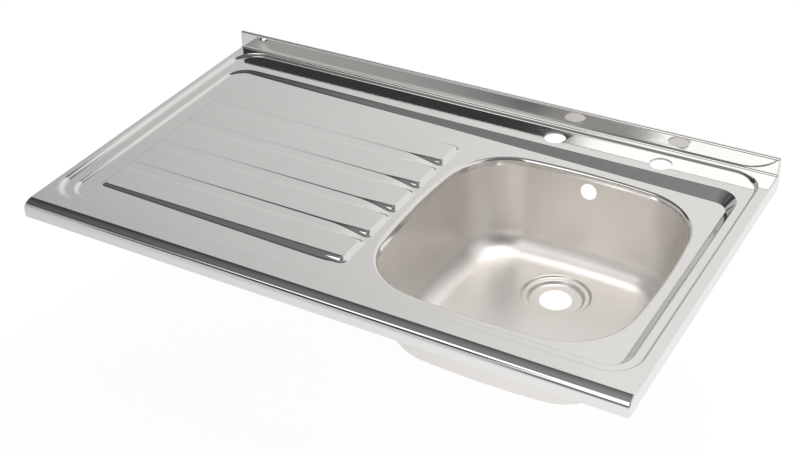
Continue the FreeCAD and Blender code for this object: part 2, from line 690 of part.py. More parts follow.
def make_box(name, corner, length, width, height):
    """Plain block; its three sides are expressions on the sheet."""
    box = doc.addObject("Part::Box", name)
    box.setExpression("Length", length)
    box.setExpression("Width", width)
    box.setExpression("Height", height)
    box.Placement.Base = corner
    return box


BATTEN_FRONT = FRONT + GAUGE + size("batten_front_gap")
BATTEN_BACK = TAP_Y + size("tap_hole") / 2 + size("tap_plate_rim") + size("batten_back_gap")
BATTEN_SIDE = RIGHT - GAUGE - size("batten_side_gap")


def make_long_batten(name, front, length, width, height):
    """Batten along the front or the back, from the left flange."""
    return make_box(name, Vector(-BATTEN_SIDE, front, 0), length, width, height)


def make_side_batten(name, side, screws):
    """Batten along the left (-1) or right (1) edge, bored for its screws."""
    front = BATTEN_FRONT + size("batten_front_width") + size("bond_gap")
    left = BATTEN_SIDE - size("batten_side_width") if side > 0 else -BATTEN_SIDE
    blank = make_box(name + "_blank", Vector(left, front, 0), "sizes.batten_side_width",
                     "sizes.top_depth - sizes.upstand_thick - sizes.tap_back + sizes.tap_hole / 2"
                     " + sizes.tap_plate_rim + sizes.batten_back_gap - sizes.top_gauge"
                     " - sizes.batten_front_gap - sizes.batten_front_width - 2 * sizes.bond_gap",
                     "sizes.rim_height - sizes.ledge_drop - sizes.top_gauge - sizes.bond_gap")
    pilots = doc.addObject("Part::MultiFuse", name + "_pilots")
    pilots.Shapes = [make_pilot(f"{name}_pilot_{number}", place) for number, place in enumerate(screws)]
    batten = doc.addObject("Part::Cut", name)
    batten.Base = blank
    batten.Tool = pilots
    return batten


def make_pilot(name, place):
    pilot = doc.addObject("Part::Cylinder", name)
    pilot.setExpression("Radius", "(sizes.screw_shank + sizes.screw_fit) / 2")
    pilot.setExpression("Height", "sizes.screw_length + sizes.screw_tip")
    pilot.Placement = place
    return pilot


def make_fixing_plate(name, side, y):
    """Cranked plate: its upper leg lies on a batten, its lower leg on the cabinet's side panel."""
    to_batten = {"cabinet_side": 1, "top_gauge": -1, "batten_side_gap": -1, "batten_side_width": -1}
    body, section = new_body(name, "XZ_Plane")
    draw_runs(section, to_batten, {"plate_rise": 1}, (
        ("DistanceY", {"plate_rise": -1, "plate_crank_drop": -1}),
        ("DistanceX", {alias: -factor for alias, factor in to_batten.items()}),
        ("DistanceY", {"plate_crank_drop": 1, "plate_drop": -1}),
        ("DistanceX", {"plate_gauge": -1}),
        ("DistanceY", {"plate_drop": 1, "plate_crank_drop": -1, "plate_gauge": -1}),
        ("DistanceX", to_batten)))
    pad_sketch(body, section, "sizes.plate_width", "Symmetric")
    holes = new_sketch(body, "YZ_Plane")
    draw_hole(holes, {}, {"screw_rise": 1}, "plate_hole")
    draw_hole(holes, {}, {"plate_hole_drop": -1}, "plate_hole")
    pocket = body.newObject("PartDesign::Pocket", name + "_holes")
    pocket.Profile = holes
    pocket.SideType = "Symmetric"
    pocket.Type = "ThroughAll"
    holes.Visibility = False
    turn = Rotation(Vector(0, 0, 1), 0 if side > 0 else 180)
    body.Placement = Placement(Vector(side * (RIGHT - size("cabinet_side")), y, 0), turn)
    return body


def screw_place(side, y):
    """Where a batten screw's head meets its plate, with its axis into the batten."""
    x = BATTEN_SIDE - size("batten_side_width") - size("plate_gauge")
    return Placement(Vector(side * x, y, size("screw_rise")), Rotation(Vector(0, 0, 1), Vector(side, 0, 0)))


def make_screw(name, place):
    """Round-headed screw, its axis along its own Z."""
    shank = doc.addObject("Part::Cylinder", name + "_shank")
    shank.setExpression("Radius", "sizes.screw_shank / 2")
    shank.setExpression("Height", "sizes.screw_length")
    shank.Placement = place
    head = doc.addObject("Part::Cone", name + "_head")
    head.setExpression("Radius1", "sizes.screw_head / 4")
    head.setExpression("Radius2", "sizes.screw_head / 2")
    head.setExpression("Height", "sizes.screw_head_height")
    head.Placement = place.multiply(Placement(Vector(0, 0, -size("screw_head_height")), Rotation()))
    screw = doc.addObject("Part::Fuse", name)
    screw.Base = shank
    screw.Tool = head
    return screw


# ---------------------------------------------------------------- the assembly

PARTS = [
    formed("deck_sheet", make_top()),
    formed("bowl_shell", make_bowl()),
    formed("bowl_seam_weld", make_weld()),
    formed("bowl_side_pad_left", make_wall_pad(-1)),
    formed("bowl_side_pad_right", make_wall_pad(1)),
    make_tap_plate(),
]

# pad under the bowl's floor, in front of the waste dish, laid along the floor's fall
floor_pad_front = BOWL_FRONT + size("floor_pad_front")
floor_pad_top = floor_z(floor_pad_front) - size("bowl_gauge") - size("bond_gap")
floor_pad = make_box("bowl_base_pad", Vector(BOWL_LEFT + size("floor_pad_side"), floor_pad_front,
                                             floor_pad_top - size("pad_thick")),
                     "sizes.bowl_width - 2 * sizes.floor_pad_side",
                     "sizes.top_depth - sizes.upstand_thick - sizes.field_front - sizes.field_back"
                     " - sizes.bowl_to_front - sizes.bowl_to_back - sizes.floor_pad_front"
                     " - sizes.waste_to_back - sizes.waste_dish / 2 - sizes.floor_pad_gap",
                     "sizes.pad_thick")
floor_pad.Placement.Rotation = Rotation(Vector(1, 0, 0), -FLOOR_TILT)
PARTS.append(floor_pad)

# channels spread evenly under the drainer, with a damping pad between each two
channel_run_front = FIELD_FRONT + size("channel_front")
channel_run_back = FIELD_BACK - size("channel_back")
channel_count = int(size("channel_count"))
channel_pitch = (PLATEAU_RIGHT - PLATEAU_LEFT) / channel_count
channel_x = [PLATEAU_LEFT + channel_pitch * (index + 0.5) for index in range(channel_count)]
for index, x in enumerate(channel_x, start=1):
    PARTS.append(make_channel(f"drainer_channel_{index}", x, channel_run_front, channel_run_back))
pad_width = channel_pitch - size("channel_crown") - 2 * size("channel_flange") - 2 * size("pad_clearance")
for index, x in enumerate(channel_x[:-1], start=1):
    left = x + (channel_pitch - pad_width) / 2
    under_field = field_z(left) - GAUGE - size("bond_gap")
    pad = make_box(f"drainer_pad_{index}", Vector(left, channel_run_front + size("pad_inset"),
                                                  under_field - size("pad_thick")),
                   str(pad_width),
                   "sizes.top_depth - sizes.upstand_thick - sizes.field_front - sizes.field_back"
                   " - sizes.channel_front - sizes.channel_back - 2 * sizes.pad_inset",
                   "sizes.pad_thick")
    pad.Placement.Rotation = Rotation(Vector(0, 1, 0), FIELD_TILT)
    PARTS.append(pad)

# battens, and the plates and screws on the side battens
rim_height = "sizes.rim_height - sizes.top_gauge - sizes.bond_gap"
PARTS.append(make_long_batten("front_batten", BATTEN_FRONT,
                              "sizes.top_width - 2 * sizes.top_gauge - 2 * sizes.batten_side_gap",
                              "sizes.batten_front_width", rim_height))
# the rear batten ends short of the tap hole plate, so that nothing lies behind the tap holes
PARTS.append(make_long_batten("rear_batten", BATTEN_BACK,
                              "sizes.top_width - sizes.top_gauge - sizes.batten_side_gap"
                              " - sizes.field_right - sizes.bowl_to_right - sizes.bowl_width / 2"
                              " - sizes.tap_distance / 2 - sizes.tap_plate_end"
                              " - sizes.batten_back_gap",
                              "sizes.tap_back - sizes.tap_hole / 2 - sizes.tap_plate_rim"
                              " - 2 * sizes.batten_back_gap",
                              rim_height + " - sizes.ledge_drop"))
ends = {"front": FRONT + size("plate_inset"), "rear": BACK - size("plate_inset")}
screws = []
for side_name, side in (("left", -1), ("right", 1)):
    places = [screw_place(side, y) for y in ends.values()]
    PARTS.append(make_side_batten(f"{side_name}_batten", side, places))
    for end_name, y in ends.items():
        PARTS.append(make_fixing_plate(f"fixing_plate_{end_name}_{side_name}", side, y))
        screws.append(make_screw(f"screw_{end_name}_{side_name}", screw_place(side, y)))
screw_group = doc.addObject("Part::Compound", "fixing_plate_screws")
screw_group.Links = screws
PARTS.append(screw_group)

# ---------------------------------------------------------------- checks and files

doc.recompute()
for item in doc.Objects:
    if "Invalid" in item.State or "Error" in item.State:
        raise RuntimeError(f"{item.Name} failed: {item.State}")
for piece in PARTS:
    if piece.Shape.isNull() or not piece.Shape.isValid():
        raise RuntimeError(f"{piece.Label} has no valid shape")

os.makedirs("parts", exist_ok=True)
for piece in PARTS:
    piece.Shape.exportStep(f"parts/{piece.Label}.step")
    print(f"{piece.Label}: {len(piece.Shape.Solids)} solid(s), {piece.Shape.Volume / 1000:.2f} cm3")
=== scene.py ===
import math

import bmesh
import bpy
from mathutils import Matrix, Vector
from mathutils.geometry import delaunay_2d_cdt


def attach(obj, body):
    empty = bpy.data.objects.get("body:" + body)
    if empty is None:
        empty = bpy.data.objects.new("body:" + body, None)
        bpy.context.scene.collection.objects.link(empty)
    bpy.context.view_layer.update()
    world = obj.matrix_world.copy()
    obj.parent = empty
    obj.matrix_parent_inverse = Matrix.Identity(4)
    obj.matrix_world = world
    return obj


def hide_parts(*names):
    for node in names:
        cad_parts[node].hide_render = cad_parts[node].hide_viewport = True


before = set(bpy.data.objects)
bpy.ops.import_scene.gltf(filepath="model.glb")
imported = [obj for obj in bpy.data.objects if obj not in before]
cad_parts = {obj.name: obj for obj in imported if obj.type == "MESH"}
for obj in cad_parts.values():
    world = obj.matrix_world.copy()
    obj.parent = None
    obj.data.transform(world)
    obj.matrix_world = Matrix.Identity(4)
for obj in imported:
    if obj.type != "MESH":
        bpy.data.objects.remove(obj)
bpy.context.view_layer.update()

# Sizes of the sink in millimetres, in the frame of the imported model.
MM = 0.001
RIGHT, FRONT, BACK = 500.0, -28.0, 572.0
LAND, LEDGE, CREST, FOOT, SEAM = 26.0, 23.0, 56.0, 0.5, 2.5
TOP_GAUGE, BOWL_GAUGE = 1.0, 0.9
FRONT_FALL, FRONT_ROLL, FRONT_TURN = 30.0, 12.0, 26.0
EDGE_BEND, FOLD = 2.5, 3.0
LAND_FRONT = FRONT + FRONT_ROLL + (FRONT_FALL - FRONT_ROLL) * math.sin(math.radians(FRONT_TURN))
UPSTAND_FACE, UPSTAND_BEND, RETURN_FOOT, UPSTAND_LEAN = 564.0, 3.0, 42.0, 0.6
LEDGE_RECT, LEDGE_CORNER = (-486.0, 484.0, 15.0, 558.0), 48.0
FIELD_RECT, FIELD_CORNER = (-462.0, 468.0, 30.0, 496.0), 36.0
FIELD_RUNS = (1.0, 1.0, 1.0, 1.5)
FIELD_DROP, FIELD_FALL = 2.0, 11.0
FLOOR_BACK_Z, FLOOR_FALL = -146.0, 11.0
PLATEAU_LEFT, PLATEAU_RIGHT, PLATEAU_FRONT = -428.0, 18.0, 78.0
PLATEAU_WIDTH, PLATEAU_VALLEY, PLATEAU_ROWS, PLATEAU_CORNER = 54.0, 21.5, 5, 8.0
PLATEAU_SPREAD = math.tan(math.radians(32))
RISE_LEFT, RISE_RIGHT, LEAST_RISE = 2.2, 5.4, 0.5
# how far each step's ends curve over, and how much softer they are at some places
STEP_REACH, DRAINER_LEDGE_SOFT, DRAINER_FIELD_SOFT, REAR_SOFT, REAR_SHIFT = 1.04, 5.0, 4.5, 2.6, 0.8
LEDGE_BEND, FIELD_BEND, PANEL_BEND, DISH_BEND = 1.707, 1.75, 1.53, 1.45
SOFT_FRONT, SOFT_BACK, SOFT_END, SOFT_GROOVE, SOFT_GROOVE_END = 1.15, 1.2, 1.0, 4.0, 4.6
GROOVE_SHARE, GROOVE_DEEPENS = 0.11, -36.0
BOWL_X, BOWL_Y, BOWL_HALF_WIDTH, BOWL_HALF_LENGTH = 237.0, 256.0, 200.0, 203.0
BOWL_BOW, BOWL_CORNER, BOWL_COVE = 1100.0, 105.0, 42.0
BOWL_LEAN = math.radians(8)
LIP_RADIUS = 6.0
WASTE_Y, WASTE_HOLE, SEAT, DISH = 342.0, 26.0, 42.0, 53.0
DISH_Z, SEAT_Z, FLARE = -147.5, -153.0, 0.5
OVERFLOW_RADIUS, OVERFLOW_Z = 13.5, -16.0
TAP_Y, TAP_DISTANCE, TAP_RADIUS = 524.0, 180.0, 17.5
WELD_GAP, RIPPLE_SPACING, RIPPLE_RADIUS, FILLER_RADIUS = 0.35, 1.5, 0.95, 0.70
SCREW_X, SCREW_Z, SCREW_FRONT, SCREW_REAR = 469.0, 8.0, 82.0, 462.0


# ---------------------------------------------------------------- heights of the sloping faces

def field_z(x):
    """Height of the sunk field, which falls towards the bowl."""
    return LEDGE - FIELD_DROP - FIELD_FALL * (x - FIELD_RECT[0]) / (FIELD_RECT[1] - FIELD_RECT[0])


def plateau_z(x):
    """Height of the drainer's plateaus, which fall more gently than the field."""
    at_left, at_right = field_z(PLATEAU_LEFT) + RISE_LEFT, field_z(PLATEAU_RIGHT) + RISE_RIGHT
    return at_left + (at_right - at_left) * (x - PLATEAU_LEFT) / (PLATEAU_RIGHT - PLATEAU_LEFT)


BOWL_BACK, BOWL_LENGTH = BOWL_Y + BOWL_HALF_LENGTH, 2 * BOWL_HALF_LENGTH
RIM_Z = field_z(BOWL_X)


def floor_z(y):
    """Height of the bowl's floor, which falls towards the waste."""
    return FLOOR_BACK_Z + FLOOR_FALL * (BOWL_BACK - y) / BOWL_LENGTH


# ---------------------------------------------------------------- sheets built row by row

class Skin:
    """The visible face of a sheet, gathered row by row in millimetres."""

    def __init__(self):
        self.points = []
        self.faces = []

    def row(self, points):
        """Adds points and gives their numbers."""
        start = len(self.points)
        self.points.extend(points)
        return list(range(start, len(self.points)))

    def join(self, first, second, closed=True):
        """Faces between two rows of as many points; a closed row runs back to its first point."""
        count = len(first)
        for i in range(count if closed else count - 1):
            j = (i + 1) % count
            self.faces.append((first[i], first[j], second[j], second[i]))

    def join_all(self, rows, closed=True):
        for first, second in zip(rows, rows[1:]):
            self.join(first, second, closed)

    def fill(self, outer, holes=(), flat=(0, 1)):
        """Fills between closed rows that lie in one plane; flat names the two axes of the plan."""
        rows = [outer, *holes]
        order = [index for row in rows for index in row]
        plan = [Vector((self.points[i][flat[0]], self.points[i][flat[1]])) for i in order]
        edges, start = [], 0
        for row in rows:
            count = len(row)
            edges += [(start + i, start + (i + 1) % count) for i in range(count)]
            start += count
        _, _, triangles, source, _, _ = delaunay_2d_cdt(plan, edges, [], 0, 1e-7)
        loops = [[(self.points[i][flat[0]], self.points[i][flat[1]]) for i in row] for row in rows]
        walls = {frozenset(edge) for edge in edges}
        corners = [tuple(source[i][0] for i in triangle) for triangle in triangles]
        beside = {}
        for number, (a, b, c) in enumerate(corners):
            for edge in (frozenset((a, b)), frozenset((b, c)), frozenset((c, a))):
                if edge not in walls:
                    beside.setdefault(edge, []).append(number)

        def extent(number):
            a, b, c = (plan[i] for i in corners[number])
            return abs((b - a).cross(c - a))

        # the region is what can be reached from its largest triangle without crossing an outline
        for number in sorted(range(len(corners)), key=extent, reverse=True):
            x = sum(plan[i].x for i in corners[number]) / 3
            y = sum(plan[i].y for i in corners[number]) / 3
            if inside(x, y, loops[0]) and not any(inside(x, y, loop) for loop in loops[1:]):
                break
        region, waiting = {number}, [number]
        while waiting:
            a, b, c = corners[waiting.pop()]
            for edge in (frozenset((a, b)), frozenset((b, c)), frozenset((c, a))):
                for other in beside.get(edge, ()):
                    if other not in region:
                        region.add(other)
                        waiting.append(other)
        self.faces += [tuple(order[i] for i in corners[number]) for number in sorted(region)]


def inside(x, y, loop):
    """True where the point lies inside the closed outline."""
    odd = False
    for (ax, ay), (bx, by) in zip(loop, loop[1:] + loop[:1]):
        if (ay > y) != (by > y) and x < ax + (bx - ax) * (y - ay) / (by - ay):
            odd = not odd
    return odd


def rounded_outline(x0, x1, y0, y1, corner, round_steps=20, side_steps=10):
    """Points round a rectangle with round corners, as many for every size."""
    centres = ((x1 - corner, y0 + corner, -90), (x1 - corner, y1 - corner, 0),
               (x0 + corner, y1 - corner, 90), (x0 + corner, y0 + corner, 180))
    corners = []
    for cx, cy, start in centres:
        turn = [math.radians(start + 90 * step / round_steps) for step in range(round_steps + 1)]
        corners.append([(cx + corner * math.cos(a), cy + corner * math.sin(a)) for a in turn])
    points = []
    for arc, following in zip(corners, corners[1:] + corners[:1]):
        points += arc
        (ax, ay), (bx, by) = arc[-1], following[0]
        for step in range(1, side_steps):
            share = step / side_steps
            points.append((ax + (bx - ax) * share, ay + (by - ay) * share))
    return points


def inward_lines(rect, corner, runs=(1, 1, 1, 1)):
    """For each point of an outline, its place and how it moves for each unit of depth."""
    x0, x1, y0, y1 = rect
    reach = 10.0
    outer = rounded_outline(x0, x1, y0, y1, corner)
    inner = rounded_outline(x0 + reach * runs[0], x1 - reach * runs[1], y0 + reach * runs[2],
                            y1 - reach * runs[3], corner - reach * min(runs))
    return [(a, ((b[0] - a[0]) / reach, (b[1] - a[1]) / reach)) for a, b in zip(outer, inner)]


def step_share(t, bend):
    """Share of a step's height at the share t of its run; each end curves over the share bend."""
    t = min(max(t, 0.0), 1.0)
    steep = 1 / (1 - bend)
    if t < bend:
        return steep * t * t / (2 * bend)
    if t > 1 - bend:
        return 1 - steep * (1 - t) ** 2 / (2 * bend)
    return steep * (t - bend / 2)


STEP_ROWS = [-0.06] + [i / 14 for i in range(15)] + [1.06]


def ease(value, low, high):
    """0 below low, 1 above high, smooth between."""
    t = min(max((value - low) / (high - low), 0.0), 1.0)
    return t * t * (3 - 2 * t)


def drainer_softness(x):
    """0 to 1: the steps are pressed softer towards the drainer's end."""
    return ease(-x, 425.0, 480.0)


def back_softness(x, y):
    """0 to 1: the wall behind the drainer gets crisp only gradually from its left end."""
    return max(drainer_softness(x), ease(y, 440.0, 490.0) * ease(-x, 40.0, 420.0))


# ---------------------------------------------------------------- the pressed top

def top_profile():
    """Section from the foot of the front flange over the land and the upstand to the return:
    (y, z, outward normal y, outward normal z)."""
    def turn(cy, cz, radius, start, end, steps, sign=1):
        found = []
        for step in range(steps + 1):
            a = math.radians(start + (end - start) * step / steps)
            found.append((cy + radius * math.cos(a), cz + radius * math.sin(a),
                          sign * math.cos(a), sign * math.sin(a)))
        return found

    turned = math.radians(FRONT_TURN)
    roll_z = LAND - (FRONT_FALL - FRONT_ROLL) * (1 - math.cos(turned)) - FRONT_ROLL
    front = [(FRONT, FOOT, -1, 0), (FRONT, roll_z - 0.4, -1, 0)]
    front += turn(FRONT + FRONT_ROLL, roll_z, FRONT_ROLL, 180, 90 + FRONT_TURN, 16)
    front += turn(LAND_FRONT, LAND - FRONT_FALL, FRONT_FALL, 90 + FRONT_TURN, 90, 10)[1:]
    back = turn(UPSTAND_FACE - FOLD, LAND + FOLD, FOLD, -90, 0, 10, -1)
    back += [(UPSTAND_FACE + 0.01, LAND + FOLD + 0.4, -1, 0),
             (UPSTAND_FACE + UPSTAND_LEAN / 2, LAND + FOLD + 10, -1, 0),
             (UPSTAND_FACE + UPSTAND_LEAN, CREST - UPSTAND_BEND - 0.4, -1, 0)]
    back += turn(UPSTAND_FACE + UPSTAND_LEAN + UPSTAND_BEND, CREST - UPSTAND_BEND, UPSTAND_BEND, 180, 90, 8)
    back += turn(BACK - UPSTAND_BEND, CREST - UPSTAND_BEND, UPSTAND_BEND, 90, 0, 8)
    back += [(BACK, CREST - UPSTAND_BEND - 0.4, 1, 0), (BACK, RETURN_FOOT, 1, 0)]
    return front, back


def side_flange(skin, side, profile, edge_row):
    """Bend along one side edge and the flat flange under it."""
    rows = [edge_row]
    for step in range(1, 9):
        a = math.radians(90 * step / 8)
        drop = EDGE_BEND * (1 - math.cos(a))
        x = side * (RIGHT - EDGE_BEND + EDGE_BEND * math.sin(a))
        rows.append(skin.row([(x, y - drop * ny, z - drop * nz) for y, z, ny, nz in profile]))
    skin.join_all(rows, closed=False)
    x = side * RIGHT
    closing = skin.row([(x, BACK, RETURN_FOOT), (x, BACK, FOOT)])
    skin.fill(rows[-1] + closing, flat=(1, 2))


def ledge_step(skin):
    """Rows of the step from the outer land down to the ledge."""
    lines = inward_lines(LEDGE_RECT, LEDGE_CORNER)
    drop = LAND - LEDGE
    rows = []
    for t in STEP_ROWS:
        points = []
        for (ax, ay), (bx, by) in lines:
            rear = ease(ay, 500.0, 552.0)
            outer = STEP_REACH + DRAINER_LEDGE_SOFT * drainer_softness(ax)
            reach = outer + REAR_SOFT * rear
            bend = min(LEDGE_BEND * reach / (drop + 2 * reach), 0.5)
            depth = REAR_SHIFT * rear - outer + (drop + 2 * reach) * t
            points.append((ax + bx * depth, ay + by * depth, LAND - drop * step_share(t, bend)))
        rows.append(skin.row(points))
    skin.join_all(rows)
    return rows


def field_wall(skin):
    """Rows of the wall from the ledge down to the sloping field."""
    lines = inward_lines(FIELD_RECT, FIELD_CORNER, FIELD_RUNS)
    fall = FIELD_FALL / (FIELD_RECT[1] - FIELD_RECT[0])
    rows = []
    for t in STEP_ROWS:
        points = []
        for (ax, ay), (bx, by) in lines:
            depth = (FIELD_DROP + fall * (ax - FIELD_RECT[0])) / (1 - fall * bx)
            slope = math.hypot(bx, by)
            reach = STEP_REACH - 1.07 * min(max(slope - 1, 0), 0.5)
            reach = reach + DRAINER_FIELD_SOFT * back_softness(ax, ay)
            bend = min(FIELD_BEND * reach / (depth + 2 * reach), 0.5)
            gone = -reach + (depth + 2 * reach) * t
            x, y = ax + bx * gone, ay + by * gone
            points.append((x, y, LEDGE + (field_z(x) - LEDGE) * step_share(t, bend)))
        rows.append(skin.row(points))
    skin.join_all(rows)
    return rows


def outside(x, y, rect, corner):
    """Distance from a rectangle with round corners, negative inside it."""
    x0, x1, y0, y1 = rect
    dx = abs(x - (x0 + x1) / 2) - (x1 - x0) / 2 + corner
    dy = abs(y - (y0 + y1) / 2) - (y1 - y0) / 2 + corner
    return math.hypot(max(dx, 0.0), max(dy, 0.0)) + min(max(dx, dy), 0.0) - corner


def pressed_step(distance, height, soft):
    """Share of the height left at a distance outside a raised edge; the slope's ends curve over
    a length of soft."""
    run = height * PLATEAU_SPREAD + 2 * soft
    bend = min(PANEL_BEND * soft / run, 0.5)
    return 1 - step_share((distance + soft) / run, bend)


def plateau_rects():
    """Plan of each plateau, from the front: (x0, x1, y0, y1)."""
    pitch = PLATEAU_WIDTH + PLATEAU_VALLEY
    for number in range(PLATEAU_ROWS):
        front = PLATEAU_FRONT + number * pitch
        yield PLATEAU_LEFT, PLATEAU_RIGHT, front, front + PLATEAU_WIDTH


def drainer_z(x, y, rects):
    """Height of the drainer: a raised panel with grooves that deepen at their right ends."""
    low, high = field_z(x), plateau_z(x)
    height = max(high - low, LEAST_RISE)
    panel = (PLATEAU_LEFT, PLATEAU_RIGHT, rects[0][2], rects[-1][3])
    front_side = ease(panel[2] + 16 - y, 0.0, 8.0)
    back_side = ease(y - panel[3] + 6, 0.0, 8.0)
    soft_front = SOFT_FRONT * (height + 0.86)
    soft = SOFT_END + (soft_front - SOFT_END) * front_side + (SOFT_BACK - SOFT_END) * back_side
    share = pressed_step(outside(x, y, panel, PLATEAU_CORNER), height, soft)
    deep = ease(x, GROOVE_DEEPENS, PLATEAU_RIGHT)
    depth = height * (GROOVE_SHARE + (1 - GROOVE_SHARE) * deep)
    soft = SOFT_GROOVE + (SOFT_GROOVE_END - SOFT_GROOVE) * deep
    away = min(outside(x, y, rect, PLATEAU_CORNER) for rect in rects)
    groove = 1 - pressed_step(away, depth, soft)
    return low + share * (high - low - depth * groove)


def graded(start, stop, edges, fine, coarse):
    """Places from start to stop: fine steps inside the edges' spans, and coarser ones the
    further they are from a span."""
    growth = 0.35
    places = [start]
    while places[-1] < stop:
        here = places[-1]
        near = min(max(low - here, here - high, 0.0) for low, high in edges)
        step = min(max(fine, growth * near), coarse)
        if near > 0:
            ahead = [low - here for low, _ in edges if low > here]
            step = min([step] + [max(gap, fine) for gap in ahead])
        places.append(min(here + step, stop))
    if places[-1] - places[-2] < fine / 2:
        del places[-2]
    return places


def drainer(skin):
    """The raised panel of the drainer as a grid of rows; gives the grid's border."""
    rects = list(plateau_rects())
    front, back = rects[0][2], rects[-1][3]
    margin, front_margin = 9.0, 12.0
    x_edges = [(PLATEAU_LEFT - 6, PLATEAU_LEFT + PLATEAU_CORNER),
               (GROOVE_DEEPENS + 40, PLATEAU_RIGHT + 6)]
    y_edges = [(front - 11, front + 7), (back - 5, back + 6)]
    y_edges += [(rect[3] - 4, rect[3] + 7) for rect in rects[:-1]]
    y_edges += [(rect[2] - 7, rect[2] + 4) for rect in rects[1:]]
    xs = graded(PLATEAU_LEFT - margin, PLATEAU_RIGHT + margin, x_edges, 0.6, 12.0)
    ys = graded(front - front_margin, back + margin, y_edges, 0.3, 8.0)
    rows = [skin.row([(x, y, drainer_z(x, y, rects)) for x in xs]) for y in ys]
    skin.join_all(rows, closed=False)
    right = [row[-1] for row in rows]
    left = [row[0] for row in rows]
    return rows[0] + right[1:] + rows[-1][-2::-1] + left[-2:0:-1]


def bowl_plan():
    """Points round the bowl's opening with their outward directions: (x, y, nx, ny)."""
    side = Vector((BOWL_HALF_WIDTH - BOWL_BOW, 0))
    end = Vector((0, BOWL_HALF_LENGTH - BOWL_BOW))
    apart = side - end
    across = Vector((-apart.y, apart.x)).normalized()
    if across.x < 0:
        across = -across
    reach = math.sqrt((BOWL_BOW - BOWL_CORNER) ** 2 - (apart.length / 2) ** 2)
    corner = (side + end) / 2 + across * reach
    side_end = math.atan2(corner.y - side.y, corner.x - side.x)
    end_start = math.atan2(corner.y - end.y, corner.x - end.x)
    quarter = []
    for centre, radius, start, stop, steps in ((side, BOWL_BOW, 0.0, side_end, 7),
                                               (corner, BOWL_CORNER, side_end, end_start, 24),
                                               (end, BOWL_BOW, end_start, math.pi / 2, 7)):
        for step in range(steps):
            a = start + (stop - start) * step / steps
            quarter.append((centre.x + radius * math.cos(a), centre.y + radius * math.sin(a),
                            math.cos(a), math.sin(a)))
    top = (0.0, BOWL_HALF_LENGTH, 0.0, 1.0)
    first = quarter + [top]
    second = [(-x, y, -nx, ny) for x, y, nx, ny in reversed(quarter)]
    half = first + second
    other = [(x, -y, nx, -ny) for x, y, nx, ny in reversed(half[1:-1])]
    return [(BOWL_X + x, BOWL_Y + y, nx, ny) for x, y, nx, ny in half + other]


def lip_rows(skin, plan):
    """Rows of the lip that turns down from the field into the bowl, to the seam."""
    lean = math.tan(BOWL_LEAN)
    start = LIP_RADIUS * math.tan((math.pi / 2 - BOWL_LEAN) / 2)

    def on_field(x, y, nx, ny, beyond):
        """Where the lip's bend leaves the sloping field, or a little beyond it."""
        out = start
        for _ in range(3):
            out = (field_z(x + nx * out) - RIM_Z) * lean + start
        out += beyond
        return x + nx * out, y + ny * out, field_z(x + nx * out)

    rows = [skin.row([on_field(*p, 0.4) for p in plan])]
    for step in range(13):
        a = (math.pi / 2 - BOWL_LEAN) * step / 12
        points = []
        for x, y, nx, ny in plan:
            sx, sy, sz = on_field(x, y, nx, ny, 0.0)
            back = LIP_RADIUS * math.sin(a)
            points.append((sx - nx * back, sy - ny * back, sz - LIP_RADIUS * (1 - math.cos(a))))
        rows.append(skin.row(points))
    out = (SEAM - RIM_Z) * lean
    rows.append(skin.row([(x + nx * out, y + ny * out, SEAM) for x, y, nx, ny in plan]))
    skin.join_all(rows)
    return rows


def pressed_top():
    """The whole top as one skin."""
    skin = Skin()
    front, back = top_profile()
    edge, guard = RIGHT - EDGE_BEND, 0.4
    columns = {}
    for x in (-edge, -edge + guard, edge - guard, edge):
        columns[x] = (skin.row([(x, y, z) for y, z, _, _ in front]),
                      skin.row([(x, y, z) for y, z, _, _ in back]))
    order = sorted(columns)
    for first, second in zip(order, order[1:]):
        for part in (0, 1):
            skin.join(columns[first][part], columns[second][part], closed=False)
    # the land's outer corners: the strips between the guard columns meet it along their ends
    front_row = [columns[x][0][-1] for x in order]
    back_row = [columns[x][1][0] for x in order]
    y0, y1 = LAND_FRONT + guard, UPSTAND_FACE - FOLD - guard
    low = skin.row([(x, y0, LAND) for x in order])
    high = skin.row([(x, y1, LAND) for x in order])
    skin.join(front_row, low, closed=False)
    skin.join(high, back_row, closed=False)
    skin.faces.append((low[0], low[1], high[1], high[0]))
    skin.faces.append((low[2], low[3], high[3], high[2]))
    land = [low[1], low[2], high[2], high[1]]

    for side in (-1, 1):
        x = side * edge
        lower, upper = columns[x]
        side_row = lower + [low[0 if side < 0 else 3], high[0 if side < 0 else 3]] + upper
        profile = front + [(y0, LAND, 0, 1), (y1, LAND, 0, 1)] + back
        side_flange(skin, side, profile, side_row)

    ledge = ledge_step(skin)
    skin.fill(land, [ledge[0]])
    field = field_wall(skin)
    holes = []
    turn = [2 * math.pi * i / 64 for i in range(64)]
    for side in (-0.5, 0.5):
        centre = BOWL_X + side * TAP_DISTANCE
        rings = [skin.row([(centre + radius * math.cos(a), TAP_Y + radius * math.sin(a), z) for a in turn])
                 for radius, z in ((TAP_RADIUS + 0.3, LEDGE), (TAP_RADIUS, LEDGE - 0.15))]
        skin.join(*rings)
        holes.append(rings[0])
    skin.fill(ledge[-1], [field[0], *holes])
    panel = drainer(skin)
    lip = lip_rows(skin, bowl_plan())
    skin.fill(field[-1], [panel, lip[0]])
    return skin


# ---------------------------------------------------------------- the drawn bowl

